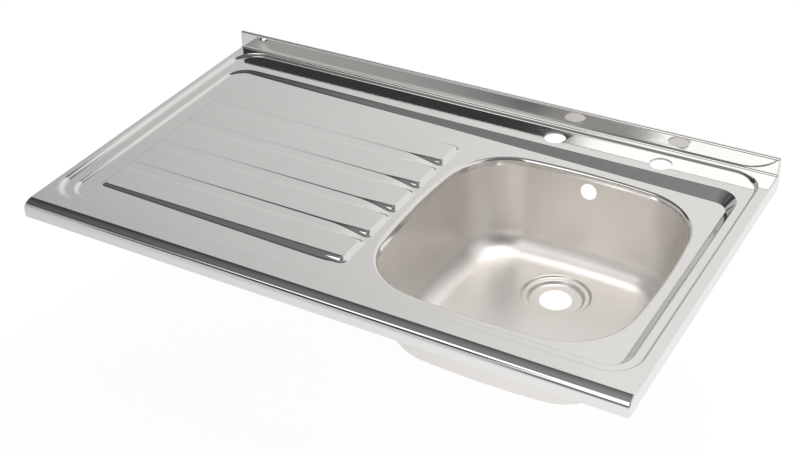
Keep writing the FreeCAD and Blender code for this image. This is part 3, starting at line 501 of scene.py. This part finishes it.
def bowl_wall(skin, plan):
    """Rows from the seam down the leaning wall and round the cove to the floor."""
    lean, c = math.tan(BOWL_LEAN), math.cos(BOWL_LEAN)
    sections = []
    for x, y, nx, ny in plan:
        m = -FLOOR_FALL / BOWL_LENGTH * ny
        tilt = math.hypot(1, m)
        at_edge = floor_z(y)
        z = (at_edge + m * (-RIM_Z * lean - BOWL_COVE / c) + BOWL_COVE * tilt) / (1 - m * lean)
        out = (z - RIM_Z) * lean - BOWL_COVE / c
        a0, a1 = -BOWL_LEAN, math.atan2(-1, m)
        wall_z = z + BOWL_COVE * math.sin(a0)
        section = []
        for step in range(6):
            share = step / 6
            height = SEAM + (wall_z - SEAM) * share
            section.append(((height - RIM_Z) * lean, height))
        for step in range(21):
            a = a0 + (a1 - a0) * step / 20
            section.append((out + BOWL_COVE * math.cos(a), z + BOWL_COVE * math.sin(a)))
        last_out = section[-1][0] - 0.4
        section.append((last_out, at_edge + m * last_out))
        sections.append([(x + nx * o, y + ny * o, h) for o, h in section])
    rows = [skin.row([section[i] for section in sections]) for i in range(len(sections[0]))]
    skin.join_all(rows)
    return rows


def waste_rings(skin):
    """Rows of the shallow dish and the seat round the waste hole."""
    turn = [2 * math.pi * i / 96 for i in range(96)]
    fall = FLOOR_FALL / BOWL_LENGTH
    reach = 1.4

    def ring(radii, heights):
        return skin.row([(BOWL_X + r * math.cos(a), WASTE_Y + r * math.sin(a), z)
                         for r, z, a in zip(radii, heights, turn)])

    tops = [(DISH + FLARE * (floor_z(WASTE_Y) - DISH_Z)) / (1 + FLARE * fall * math.sin(a)) for a in turn]
    rows = []
    for t in STEP_ROWS:
        radii = [top + reach - (top - DISH + 2 * reach) * t for top in tops]
        shares = [step_share(t, min(DISH_BEND * reach / (top - DISH + 2 * reach), 0.5)) for top in tops]
        planes = [floor_z(WASTE_Y + r * math.sin(a)) for r, a in zip(radii, turn)]
        rows.append(ring(radii, [p + (DISH_Z - p) * s for p, s in zip(planes, shares)]))
    top = SEAT + FLARE * (DISH_Z - SEAT_Z)
    run = top - SEAT + 2 * reach
    for t in STEP_ROWS:
        share = step_share(t, min(DISH_BEND * reach / run, 0.5))
        rows.append(ring([top + reach - run * t] * 96, [DISH_Z + (SEAT_Z - DISH_Z) * share] * 96))
    for radius, drop in ((WASTE_HOLE + 0.5, 0.0), (WASTE_HOLE + 0.15, 0.1), (WASTE_HOLE, 0.25)):
        rows.append(ring([radius] * 96, [SEAT_Z - drop] * 96))
    skin.join_all(rows)
    return rows


def drawn_bowl():
    """The bowl as one skin, from the seam to the waste hole."""
    skin = Skin()
    wall = bowl_wall(skin, bowl_plan())
    waste = waste_rings(skin)
    skin.fill(wall[-1], [waste[0]])
    return skin


# ---------------------------------------------------------------- from skins to sheets

def settle(obj):
    """Turns the modifiers of an object into its mesh."""
    graph = bpy.context.evaluated_depsgraph_get()
    made = bpy.data.meshes.new_from_object(obj.evaluated_get(graph))
    obj.modifiers.clear()
    old, obj.data = obj.data, made
    bpy.data.meshes.remove(old)
    made.name = obj.name


def new_object(name, mesh):
    """An object with this data, in the scene."""
    obj = bpy.data.objects.new(name, mesh)
    bpy.context.scene.collection.objects.link(obj)
    return obj


def sheet_from(name, skin, gauge, material):
    """A closed sheet of the given gauge under a skin that faces up."""
    mesh = bpy.data.meshes.new(name)
    mesh.from_pydata([Vector(point) * MM for point in skin.points], [], skin.faces)
    form = bmesh.new()
    form.from_mesh(mesh)
    bmesh.ops.remove_doubles(form, verts=form.verts, dist=1e-6)
    bmesh.ops.recalc_face_normals(form, faces=form.faces)
    level = [face for face in form.faces if abs(face.normal.z) > 0.9]
    if max(level, key=lambda face: face.calc_area()).normal.z < 0:
        bmesh.ops.reverse_faces(form, faces=form.faces)
    form.to_mesh(mesh)
    form.free()
    obj = new_object(name, mesh)
    mesh.materials.append(material)
    wall = obj.modifiers.new("gauge", "SOLIDIFY")
    wall.thickness = gauge * MM
    wall.offset = -1
    wall.use_quality_normals = True
    settle(obj)
    return obj


def even_shading(obj, angle=35):
    """Keeps the flats flat and the bends round."""
    obj.data.shade_smooth()
    obj.data.set_sharp_from_angle(angle=math.radians(angle))
    weighted = obj.modifiers.new("flats", "WEIGHTED_NORMAL")
    weighted.keep_sharp = True
    weighted.mode = "FACE_AREA"
    weighted.weight = 80
    settle(obj)


def cut_overflow(bowl):
    """Punches the overflow hole square to the leaning back wall."""
    outward = Vector((0, math.cos(BOWL_LEAN), -math.sin(BOWL_LEAN)))
    y = BOWL_BACK + (OVERFLOW_Z - RIM_Z) * math.tan(BOWL_LEAN)
    punch = bmesh.new()
    bmesh.ops.create_cone(punch, cap_ends=True, segments=72, radius1=OVERFLOW_RADIUS * MM,
                          radius2=OVERFLOW_RADIUS * MM, depth=2 * OVERFLOW_RADIUS * MM)
    turn = outward.to_track_quat("Z", "Y").to_matrix().to_4x4()
    punch.transform(Matrix.Translation(Vector((BOWL_X, y, OVERFLOW_Z)) * MM) @ turn)
    mesh = bpy.data.meshes.new("punch")
    punch.to_mesh(mesh)
    punch.free()
    tool = new_object("punch", mesh)
    cut = bowl.modifiers.new("overflow", "BOOLEAN")
    cut.operation = "DIFFERENCE"
    cut.solver = "EXACT"
    cut.object = tool
    settle(bowl)
    bpy.data.objects.remove(tool)


# ---------------------------------------------------------------- finishes

def add(tree, kind, inputs=None, **settings):
    """A new node of the tree; each input is a value or another node's socket."""
    made = tree.nodes.new(kind)
    for key, value in settings.items():
        setattr(made, key, value)
    for key, value in (inputs or {}).items():
        if isinstance(value, bpy.types.NodeSocket):
            tree.links.new(value, made.inputs[key])
        else:
            made.inputs[key].default_value = value
    return made


class Finish:
    """A material's node tree, built node by node."""

    def __init__(self, name):
        self.material = bpy.data.materials.new(name)
        self.material.use_nodes = True
        self.tree = self.material.node_tree
        self.shader = self.tree.nodes["Principled BSDF"]
        self.place = self.tree.nodes.new("ShaderNodeTexCoord").outputs["Object"]

    def node(self, kind, inputs=None, **settings):
        return add(self.tree, kind, inputs, **settings)

    def set(self, **values):
        """Sets the shader's inputs, which are named with _ in place of a space."""
        for key, value in values.items():
            socket = self.shader.inputs[key.replace("_", " ")]
            if isinstance(value, bpy.types.NodeSocket):
                self.tree.links.new(value, socket)
            else:
                socket.default_value = value

    def stretched(self, x, y, z):
        return self.node("ShaderNodeMapping", {"Vector": self.place, "Scale": (x, y, z)}).outputs[0]

    def noise(self, vector, scale, detail=3.0, rough=0.5):
        return self.node("ShaderNodeTexNoise", {"Vector": vector, "Scale": scale, "Detail": detail,
                                                "Roughness": rough}).outputs[0]

    def spread(self, value, low, high, start=0.3, stop=0.7):
        return self.node("ShaderNodeMapRange", {"Value": value, "From Min": start, "From Max": stop,
                                                "To Min": low, "To Max": high}).outputs[0]

    def tint(self, value, first, second, start=0.3, stop=0.7):
        ramp = self.node("ShaderNodeValToRGB", {"Fac": value})
        ramp.color_ramp.elements[0].position = start
        ramp.color_ramp.elements[0].color = (*first, 1)
        ramp.color_ramp.elements[1].position = stop
        ramp.color_ramp.elements[1].color = (*second, 1)
        return ramp.outputs[0]

    def relief(self, height, depth, under=None):
        """Bump of a depth in metres, over another bump if one is given."""
        inputs = {"Height": height, "Distance": depth, "Strength": 1.0}
        if under is not None:
            inputs["Normal"] = under
        return self.node("ShaderNodeBump", inputs).outputs[0]


def polished_steel():
    """Mirror-polished pressing: faint rolled grain, slight waviness of the flats."""
    finish = Finish("polished_steel")
    wave = finish.noise(finish.stretched(1, 1, 1), 7.0, 1.0, 0.4)
    grain = finish.noise(finish.stretched(60, 900, 900), 1.0, 3.0)
    shade = finish.noise(finish.place, 3.0, 2.0)
    finish.set(Metallic=1.0,
               Base_Color=finish.tint(shade, (0.79, 0.785, 0.775), (0.83, 0.825, 0.815)),
               Roughness=finish.spread(grain, 0.04, 0.08),
               Normal=finish.relief(wave, 0.00006))
    return finish.material


def satin_steel():
    """Satin bowl: even fine grain with a warm cast."""
    finish = Finish("satin_steel")
    grain = finish.noise(finish.stretched(700, 700, 260), 1.0, 4.0, 0.6)
    cloud = finish.noise(finish.place, 9.0, 3.0)
    finish.set(Metallic=1.0,
               Base_Color=finish.tint(cloud, (0.84, 0.815, 0.79), (0.88, 0.855, 0.825)),
               Roughness=finish.spread(grain, 0.34, 0.44),
               Normal=finish.relief(grain, 0.000012, finish.relief(cloud, 0.0002)))
    return finish.material


def weld_steel():
    """Heat-tinted bead of weld."""
    finish = Finish("weld_steel")
    heat = finish.noise(finish.place, 60.0, 3.0)
    scale = finish.noise(finish.place, 900.0, 3.0)
    finish.set(Metallic=1.0,
               Base_Color=finish.tint(heat, (0.50, 0.47, 0.43), (0.70, 0.68, 0.65)),
               Roughness=finish.spread(scale, 0.35, 0.6),
               Normal=finish.relief(scale, 0.00003))
    return finish.material


def plated_steel():
    """Zinc-plated sheet with a faint spangle."""
    finish = Finish("plated_steel")
    spangle = finish.node("ShaderNodeTexVoronoi", {"Vector": finish.place, "Scale": 170.0})
    level = finish.node("ShaderNodeSeparateColor", {"Color": spangle.outputs["Color"]}).outputs[0]
    rub = finish.noise(finish.place, 420.0, 3.0)
    finish.set(Metallic=1.0,
               Base_Color=finish.tint(level, (0.60, 0.61, 0.62), (0.74, 0.75, 0.76), 0.1, 0.9),
               Roughness=finish.spread(level, 0.30, 0.46, 0.0, 1.0),
               Normal=finish.relief(rub, 0.00002))
    return finish.material


def screw_steel():
    """Bright-plated screws, slightly yellow."""
    finish = Finish("screw_steel")
    rub = finish.noise(finish.place, 700.0, 3.0)
    finish.set(Metallic=1.0,
               Base_Color=finish.tint(rub, (0.68, 0.66, 0.58), (0.78, 0.76, 0.70)),
               Roughness=finish.spread(rub, 0.22, 0.38))
    return finish.material


def damping_pad():
    """Bitumen pad with an embossed grid and a dusty surface."""
    finish = Finish("damping_pad")
    dust = finish.noise(finish.place, 55.0, 4.0)
    grit = finish.noise(finish.place, 1500.0, 2.0)
    bars = []
    for turn in ((1.0, 1.0, 0.0), (1.0, -1.0, 0.0)):
        along = finish.node("ShaderNodeVectorMath", {0: finish.place, 1: turn}, operation="DOT_PRODUCT")
        wave = finish.node("ShaderNodeMath", {0: along.outputs["Value"], 1: 900.0}, operation="MULTIPLY")
        bars.append(finish.node("ShaderNodeMath", {0: wave.outputs[0]}, operation="SINE").outputs[0])
    grid = finish.node("ShaderNodeMath", {0: bars[0], 1: bars[1]}, operation="MAXIMUM").outputs[0]
    finish.set(Base_Color=finish.tint(dust, (0.028, 0.028, 0.030), (0.065, 0.064, 0.066)),
               Roughness=finish.spread(dust, 0.62, 0.82),
               Normal=finish.relief(grid, 0.00025, finish.relief(grit, 0.00004)))
    return finish.material


def timber(name, along_x):
    """Sawn softwood: growth rings seen along the batten, with pores."""
    finish = Finish(name)
    stretch = (1.2, 22, 22) if along_x else (22, 1.2, 22)
    fibre = (14, 900, 900) if along_x else (900, 14, 900)
    warp = finish.noise(finish.stretched(*stretch), 2.2, 3.0)
    ring = finish.node("ShaderNodeMath", {0: warp, 1: 46.0}, operation="MULTIPLY").outputs[0]
    ring = finish.node("ShaderNodeMath", {0: ring}, operation="SINE").outputs[0]
    pores = finish.noise(finish.stretched(*fibre), 1.0, 3.0)
    mix = finish.node("ShaderNodeMath", {0: finish.spread(ring, 0.0, 0.7, -1, 1),
                                         1: finish.spread(pores, 0.0, 0.3)}, operation="ADD").outputs[0]
    finish.set(Base_Color=finish.tint(mix, (0.60, 0.43, 0.26), (0.36, 0.22, 0.11), 0.1, 0.95),
               Roughness=finish.spread(pores, 0.60, 0.78),
               Normal=finish.relief(pores, 0.00012))
    return finish.material


# ---------------------------------------------------------------- pieces made by rule

def new_rule(name, sizes):
    """An empty geometry rule with named sizes; gives the tree, its inputs and its output."""
    tree = bpy.data.node_groups.new(name, "GeometryNodeTree")
    tree.interface.new_socket("Geometry", in_out="INPUT", socket_type="NodeSocketGeometry")
    tree.interface.new_socket("Geometry", in_out="OUTPUT", socket_type="NodeSocketGeometry")
    for label, kind in sizes:
        tree.interface.new_socket(label, in_out="INPUT", socket_type=kind)
    return tree, tree.nodes.new("NodeGroupInput"), tree.nodes.new("NodeGroupOutput")


def follow_rule(obj, tree, values):
    """Gives the object the rule with these sizes and turns the result into its mesh."""
    rule = obj.modifiers.new(tree.name, "NODES")
    rule.node_group = tree
    for item in tree.interface.items_tree:
        if item.in_out == "INPUT" and item.name in values:
            rule[item.identifier] = values[item.name]
    settle(obj)


def weld_bead(material):
    """Bead round the seam: a row of overlapping ripples on a run of filler."""
    out = TOP_GAUGE + WELD_GAP + (SEAM - RIM_Z) * math.tan(BOWL_LEAN)
    points = [Vector((x + nx * out, y + ny * out, SEAM)) * MM for x, y, nx, ny in bowl_plan()]
    mesh = bpy.data.meshes.new("weld_bead")
    mesh.from_pydata(points, [(i, (i + 1) % len(points)) for i in range(len(points))], [])
    obj = new_object("weld_bead", mesh)

    tree, given, result = new_rule("weld_ripples", (
        ("Ripple spacing", "NodeSocketFloat"), ("Ripple radius", "NodeSocketFloat"),
        ("Filler radius", "NodeSocketFloat"), ("Finish", "NodeSocketMaterial")))
    path = add(tree, "GeometryNodeMeshToCurve", {"Mesh": given.outputs["Geometry"]}).outputs[0]
    spaced = add(tree, "GeometryNodeResampleCurve",
                 {"Curve": path, "Length": given.outputs["Ripple spacing"]}, mode="LENGTH").outputs[0]
    profile = add(tree, "GeometryNodeCurvePrimitiveCircle", {"Resolution": 8,
                                                            "Radius": given.outputs["Filler radius"]})
    filler = add(tree, "GeometryNodeCurveToMesh", {"Curve": path, "Profile Curve": profile.outputs[0]})
    ripple = add(tree, "GeometryNodeMeshUVSphere", {"Segments": 8, "Rings": 5,
                                                    "Radius": given.outputs["Ripple radius"]})
    along = add(tree, "GeometryNodeInputTangent").outputs[0]
    turn = add(tree, "FunctionNodeAlignRotationToVector", {"Vector": along}, axis="Z")
    row = add(tree, "GeometryNodeInstanceOnPoints", {"Points": spaced, "Instance": ripple.outputs["Mesh"],
                                                     "Rotation": turn.outputs[0], "Scale": (1.0, 1.0, 0.7)})
    joined = add(tree, "GeometryNodeJoinGeometry")
    tree.links.new(row.outputs[0], joined.inputs[0])
    tree.links.new(filler.outputs[0], joined.inputs[0])
    solid = add(tree, "GeometryNodeRealizeInstances", {"Geometry": joined.outputs[0]})
    smooth = add(tree, "GeometryNodeSetShadeSmooth", {"Geometry": solid.outputs[0]})
    coated = add(tree, "GeometryNodeSetMaterial", {"Geometry": smooth.outputs[0],
                                                   "Material": given.outputs["Finish"]})
    tree.links.new(coated.outputs[0], result.inputs[0])
    follow_rule(obj, tree, {"Ripple spacing": RIPPLE_SPACING * MM, "Ripple radius": RIPPLE_RADIUS * MM,
                            "Filler radius": FILLER_RADIUS * MM, "Finish": material})
    return obj


def screw_blank():
    """One screw, its axis along +Z into the timber, with a cross recess in its round head."""
    section = ((0.0, -2.4), (1.5, -2.4), (2.6, -2.1), (3.4, -1.4), (3.9, -0.5), (4.0, 0.0),
               (2.0, 0.0), (2.0, 12.0), (1.2, 13.8), (0.0, 15.0))
    steps = 32
    form = bmesh.new()
    rings = []
    for radius, z in section:
        if radius == 0:
            rings.append([form.verts.new((0, 0, z * MM))] * steps)
            continue
        rings.append([form.verts.new((radius * MM * math.cos(2 * math.pi * i / steps),
                                      radius * MM * math.sin(2 * math.pi * i / steps), z * MM))
                      for i in range(steps)])
    for low, high in zip(rings, rings[1:]):
        for i in range(steps):
            j = (i + 1) % steps
            corners = list(dict.fromkeys((low[i], low[j], high[j], high[i])))
            form.faces.new(corners)
    bmesh.ops.recalc_face_normals(form, faces=form.faces)
    mesh = bpy.data.meshes.new("screw")
    form.to_mesh(mesh)
    form.free()
    screw = new_object("screw", mesh)
    for number, (width, length) in enumerate(((0.9, 3.8), (3.8, 0.9))):
        slot = bmesh.new()
        bmesh.ops.create_cube(slot, size=1.0)
        slot.transform(Matrix.Translation((0, 0, -2.4 * MM)) @ Matrix.Diagonal(
            (width * MM, length * MM, 2.4 * MM, 1)))
        slot_mesh = bpy.data.meshes.new("recess")
        slot.to_mesh(slot_mesh)
        slot.free()
        tool = new_object(f"recess_{number}", slot_mesh)
        cut = screw.modifiers.new("recess", "BOOLEAN")
        cut.operation, cut.solver, cut.object = "DIFFERENCE", "EXACT", tool
        settle(screw)
        bpy.data.objects.remove(tool)
    return screw


def batten_screws(material):
    """The four screws that hold the fixing plates to the side battens."""
    places = [(side * SCREW_X, y, SCREW_Z, side) for side in (-1, 1) for y in (SCREW_FRONT, SCREW_REAR)]
    mesh = bpy.data.meshes.new("batten_screws")
    mesh.from_pydata([Vector(place[:3]) * MM for place in places], [], [])
    axis = mesh.attributes.new("screw_axis", "FLOAT_VECTOR", "POINT")
    for item, place in zip(axis.data, places):
        item.vector = (place[3], 0, 0)
    obj = new_object("batten_screws", mesh)
    blank = screw_blank()

    tree, given, result = new_rule("screws_on_points", (
        ("Screw", "NodeSocketObject"), ("Size", "NodeSocketFloat"), ("Finish", "NodeSocketMaterial")))
    shape = add(tree, "GeometryNodeObjectInfo", {"Object": given.outputs["Screw"]})
    named = add(tree, "GeometryNodeInputNamedAttribute", {"Name": "screw_axis"}, data_type="FLOAT_VECTOR")
    turn = add(tree, "FunctionNodeAlignRotationToVector", {"Vector": named.outputs[0]}, axis="Z")
    row = add(tree, "GeometryNodeInstanceOnPoints", {"Points": given.outputs["Geometry"],
                                                     "Instance": shape.outputs["Geometry"],
                                                     "Rotation": turn.outputs[0],
                                                     "Scale": given.outputs["Size"]})
    solid = add(tree, "GeometryNodeRealizeInstances", {"Geometry": row.outputs[0]})
    coated = add(tree, "GeometryNodeSetMaterial", {"Geometry": solid.outputs[0],
                                                   "Material": given.outputs["Finish"]})
    tree.links.new(coated.outputs[0], result.inputs[0])
    follow_rule(obj, tree, {"Screw": blank, "Size": 1.0, "Finish": material})
    bpy.data.objects.remove(blank)
    obj.data.shade_smooth()
    obj.data.set_sharp_from_angle(angle=math.radians(40))
    return obj


# ---------------------------------------------------------------- the studio

SOFTBOX = 1.6
FLOOR_HALF, FLOOR_Z = 6.0, -0.36
GLOW_SHARE, GLOW_SEEN, GLOW_LEFT = 0.88, 1.06, 0.72
PHOTO_WIDTH, PHOTO_HEIGHT, PHOTO_CENTRE, SENSOR_WIDTH = 800, 455, (367.24, 221.50), 36


def studio_light():
    """World of soft zones in bearing and elevation: a pale wall behind, a dark ceiling, a grey
    room at the front left, and in front a bright softbox with a dark object below it."""
    world = bpy.data.worlds.new("studio")
    bpy.context.scene.world = world
    world.use_nodes = True
    tree = world.node_tree
    tree.nodes.clear()

    def math_node(operation, first, second=0.0, third=0.0):
        return add(tree, "ShaderNodeMath", {0: first, 1: second, 2: third}, operation=operation).outputs[0]

    def band(value, low, high, soft):
        up = add(tree, "ShaderNodeMapRange", {"Value": value, "From Min": low - soft,
                                              "From Max": low + soft},
                 interpolation_type="SMOOTHSTEP").outputs[0]
        down = add(tree, "ShaderNodeMapRange", {"Value": value, "From Min": high - soft,
                                                "From Max": high + soft, "To Min": 1.0, "To Max": 0.0},
                   interpolation_type="SMOOTHSTEP").outputs[0]
        return math_node("MULTIPLY", up, down)

    place = add(tree, "ShaderNodeTexCoord").outputs["Generated"]
    axes = add(tree, "ShaderNodeSeparateXYZ", {"Vector": place}).outputs
    around = math_node("MULTIPLY", math_node("ARCTAN2", axes[0], math_node("MULTIPLY", axes[1], -1.0)),
                       180 / math.pi)
    above = math_node("MULTIPLY", math_node("ARCSINE", axes[2]), 180 / math.pi)

    def across(value, start, stop, low, high):
        return add(tree, "ShaderNodeMapRange", {"Value": value, "From Min": start, "From Max": stop,
                                                "To Min": low, "To Max": high}).outputs[0]

    # behind the sink a pale wall that gets darker to the left; its top edge slants
    strength = across(around, -160.0, -132.0, 0.88, 0.50)
    slant = math_node("MULTIPLY_ADD", math_node("ADD", around, 134.0), 0.5, above)
    ceiling = across(above, 44.0, 76.0, 0.055, 0.30)
    front_left = across(above, 14.0, 26.0, 0.68, 0.47)
    # each later zone covers the earlier ones
    parts = (
        # what the height is, (lowest and highest bearing from the front, soft),
        # (lowest and highest elevation, soft), brightness
        (above, (60.0, 181.0, 4.0), (-30.0, 60.0, 6.0), 0.88),
        (above, (-181.0, -112.0, 6.0), (-30.0, 8.0, 5.0), 0.40),
        (above, (-100.0, -5.0, 8.0), (-30.0, 60.0, 4.0), front_left),
        (slant, (-176.0, -100.0, 2.0), (37.0, 400.0, 2.0), ceiling),
        (above, (-102.0, -47.0, 2.0), (43.0, 120.0, 3.0), ceiling),
        (above, (-5.0, 70.0, 4.0), (14.0, 120.0, 4.0), 0.16),
        (above, (-181.0, 181.0, 1.0), (74.0, 120.0, 3.0), 0.28),
        (above, (-52.0, -22.0, 3.0), (45.0, 62.0, 1.5), SOFTBOX),
        (above, (-43.0, -23.3, 0.8), (26.4, 45.0, 0.4), 0.05),
        (above, (-41.0, -36.8, 0.6), (22.5, 27.0, 0.6), 0.07),
        (above, (-23.3, -5.0, 0.8), (28.6, 62.0, 0.4), SOFTBOX),
        (above, (-18.4, -5.0, 0.5), (26.4, 29.0, 0.4), SOFTBOX),
        (above, (-23.3, -19.2, 0.8), (26.4, 28.6, 0.4), 0.32),
        (above, (-20.0, -5.0, 1.5), (3.0, 23.0, 2.0), 0.18),
    )
    for height, (b0, b1, bs), (e0, e1, es), bright in parts:
        mask = math_node("MULTIPLY", band(around, b0, b1, bs), band(height, e0, e1, es))
        keep = math_node("SUBTRACT", 1.0, mask)
        strength = math_node("MULTIPLY_ADD", mask, bright, math_node("MULTIPLY", keep, strength))

    room = add(tree, "ShaderNodeBackground", {"Color": (1.0, 0.992, 0.98, 1), "Strength": strength})
    white = add(tree, "ShaderNodeBackground", {"Color": (1, 1, 1, 1), "Strength": 1.0})
    ray = add(tree, "ShaderNodeLightPath").outputs["Is Camera Ray"]
    both = add(tree, "ShaderNodeMixShader", {0: ray, 1: room.outputs[0], 2: white.outputs[0]})
    result = tree.nodes.new("ShaderNodeOutputWorld")
    tree.links.new(both.outputs[0], result.inputs[0])


def studio_floor():
    """Pale floor under the sink, nearly white, with a soft shadow; darker to the left in mirrors."""
    form = bmesh.new()
    bmesh.ops.create_grid(form, x_segments=2, y_segments=2, size=FLOOR_HALF)
    form.transform(Matrix.Translation((0.0, 0.25, FLOOR_Z)))
    mesh = bpy.data.meshes.new("floor")
    form.to_mesh(mesh)
    form.free()
    floor = new_object("floor", mesh)
    material = bpy.data.materials.new("pale_floor")
    material.use_nodes = True
    tree = material.node_tree
    tree.nodes.clear()
    paper = add(tree, "ShaderNodeBsdfDiffuse", {"Color": (0.92, 0.92, 0.915, 1)})
    path = add(tree, "ShaderNodeLightPath").outputs
    place = add(tree, "ShaderNodeTexCoord").outputs["Object"]
    across = add(tree, "ShaderNodeSeparateXYZ", {"Vector": place}).outputs[0]
    mirrored = add(tree, "ShaderNodeMapRange", {"Value": across, "From Min": -1.0, "From Max": 0.1,
                                                "To Min": GLOW_LEFT, "To Max": 1.0}).outputs[0]
    level = add(tree, "ShaderNodeMix", {0: path["Is Camera Ray"], 2: mirrored, 3: GLOW_SEEN}).outputs[0]
    glow = add(tree, "ShaderNodeEmission", {"Color": (1, 1, 1, 1), "Strength": level})
    seen = add(tree, "ShaderNodeMath", {0: path["Is Camera Ray"], 1: path["Is Glossy Ray"]},
               operation="MAXIMUM").outputs[0]
    seen = add(tree, "ShaderNodeMath", {0: seen, 1: path["Is Transmission Ray"]},
               operation="MAXIMUM").outputs[0]
    share = add(tree, "ShaderNodeMath", {0: seen, 1: GLOW_SHARE}, operation="MULTIPLY").outputs[0]
    both = add(tree, "ShaderNodeMixShader", {0: share, 1: paper.outputs[0], 2: glow.outputs[0]})
    result = tree.nodes.new("ShaderNodeOutputMaterial")
    tree.links.new(both.outputs[0], result.inputs[0])
    mesh.materials.append(material)
    return floor


def overhead_lamp(lit):
    """Large soft lamp above the sink, which lights only the given objects."""
    lamp = bpy.data.lights.new("overhead", "AREA")
    lamp.shape = "RECTANGLE"
    lamp.size, lamp.size_y = 1.8, 1.2
    lamp.energy = 18
    lamp.color = (1.0, 0.99, 0.975)
    obj = new_object("overhead", lamp)
    reached = bpy.data.collections.new("lit_by_overhead")
    for other in lit:
        reached.objects.link(other)
    obj.light_linking.receiver_collection = reached
    obj.location = (0.25, 0.55, 1.9)
    obj.rotation_euler = (Vector((0, 0.25, 0)) - obj.location).to_track_quat("-Z", "Y").to_euler()


def photo_camera():
    """Camera at the photograph's place, from the perspective of the sink's rim."""
    focal, around, above, roll = 1420.02, math.radians(32.40), math.radians(33.66), math.radians(-2.88)
    shift = Vector((-104.74, -97.17, -1973.52))
    back = Vector((math.sin(around) * math.cos(above), -math.cos(around) * math.cos(above), math.sin(above)))
    right = Vector((0, 0, 1)).cross(back).normalized()
    up = back.cross(right)
    c, s = math.cos(roll), math.sin(roll)
    axes = Matrix((c * right + s * up, c * up - s * right, back))
    place = -(axes.transposed() @ shift)
    data = bpy.data.cameras.new("camera")
    data.sensor_width = SENSOR_WIDTH
    data.lens = focal / PHOTO_WIDTH * SENSOR_WIDTH
    data.shift_x = (PHOTO_WIDTH / 2 - PHOTO_CENTRE[0]) / PHOTO_WIDTH
    data.shift_y = (PHOTO_CENTRE[1] - PHOTO_HEIGHT / 2) / PHOTO_WIDTH
    data.clip_start, data.clip_end = 0.05, 50
    camera = new_object("camera", data)
    turn = axes.transposed().to_4x4()
    camera.matrix_world = Matrix.Translation((place + Vector((0, FRONT, LAND))) * MM) @ turn
    bpy.context.scene.camera = camera


# ---------------------------------------------------------------- putting the sink together

STEEL, SATIN, WELD = polished_steel(), satin_steel(), weld_steel()
PLATED, SCREWS, PAD = plated_steel(), screw_steel(), damping_pad()
TIMBER_X, TIMBER_Y = timber("timber_long", True), timber("timber_side", False)

top = sheet_from("pressed_top", pressed_top(), TOP_GAUGE, STEEL)
even_shading(top)
bowl = sheet_from("drawn_bowl", drawn_bowl(), BOWL_GAUGE, SATIN)
cut_overflow(bowl)
even_shading(bowl)

made = (
    (top, "deck_sheet", "polished_steel"),
    (bowl, "bowl_shell", "satin_steel"),
    (weld_bead(WELD), "bowl_seam_weld", "weld_steel"),
    (batten_screws(SCREWS), "fixing_plate_screws", "screw_steel"),
)
for piece, node, slot in made:
    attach(piece, "root")
    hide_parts(node)

kept = {
    "tap_hole_plate": PLATED, "front_batten": TIMBER_X, "rear_batten": TIMBER_X,
    "left_batten": TIMBER_Y, "right_batten": TIMBER_Y,
    "bowl_base_pad": PAD, "bowl_side_pad_left": PAD, "bowl_side_pad_right": PAD,
    "drainer_pad_1": PAD, "drainer_pad_2": PAD,
    "drainer_channel_1": PLATED, "drainer_channel_2": PLATED, "drainer_channel_3": PLATED,
    "fixing_plate_front_left": PLATED, "fixing_plate_front_right": PLATED,
    "fixing_plate_rear_left": PLATED, "fixing_plate_rear_right": PLATED,
}
for name, material in kept.items():
    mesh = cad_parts[name].data
    mesh.materials.clear()
    mesh.materials.append(material)

studio_light()
floor = studio_floor()
overhead_lamp([bowl, floor])
photo_camera()
bpy.context.scene.view_settings.view_transform = "Standard"
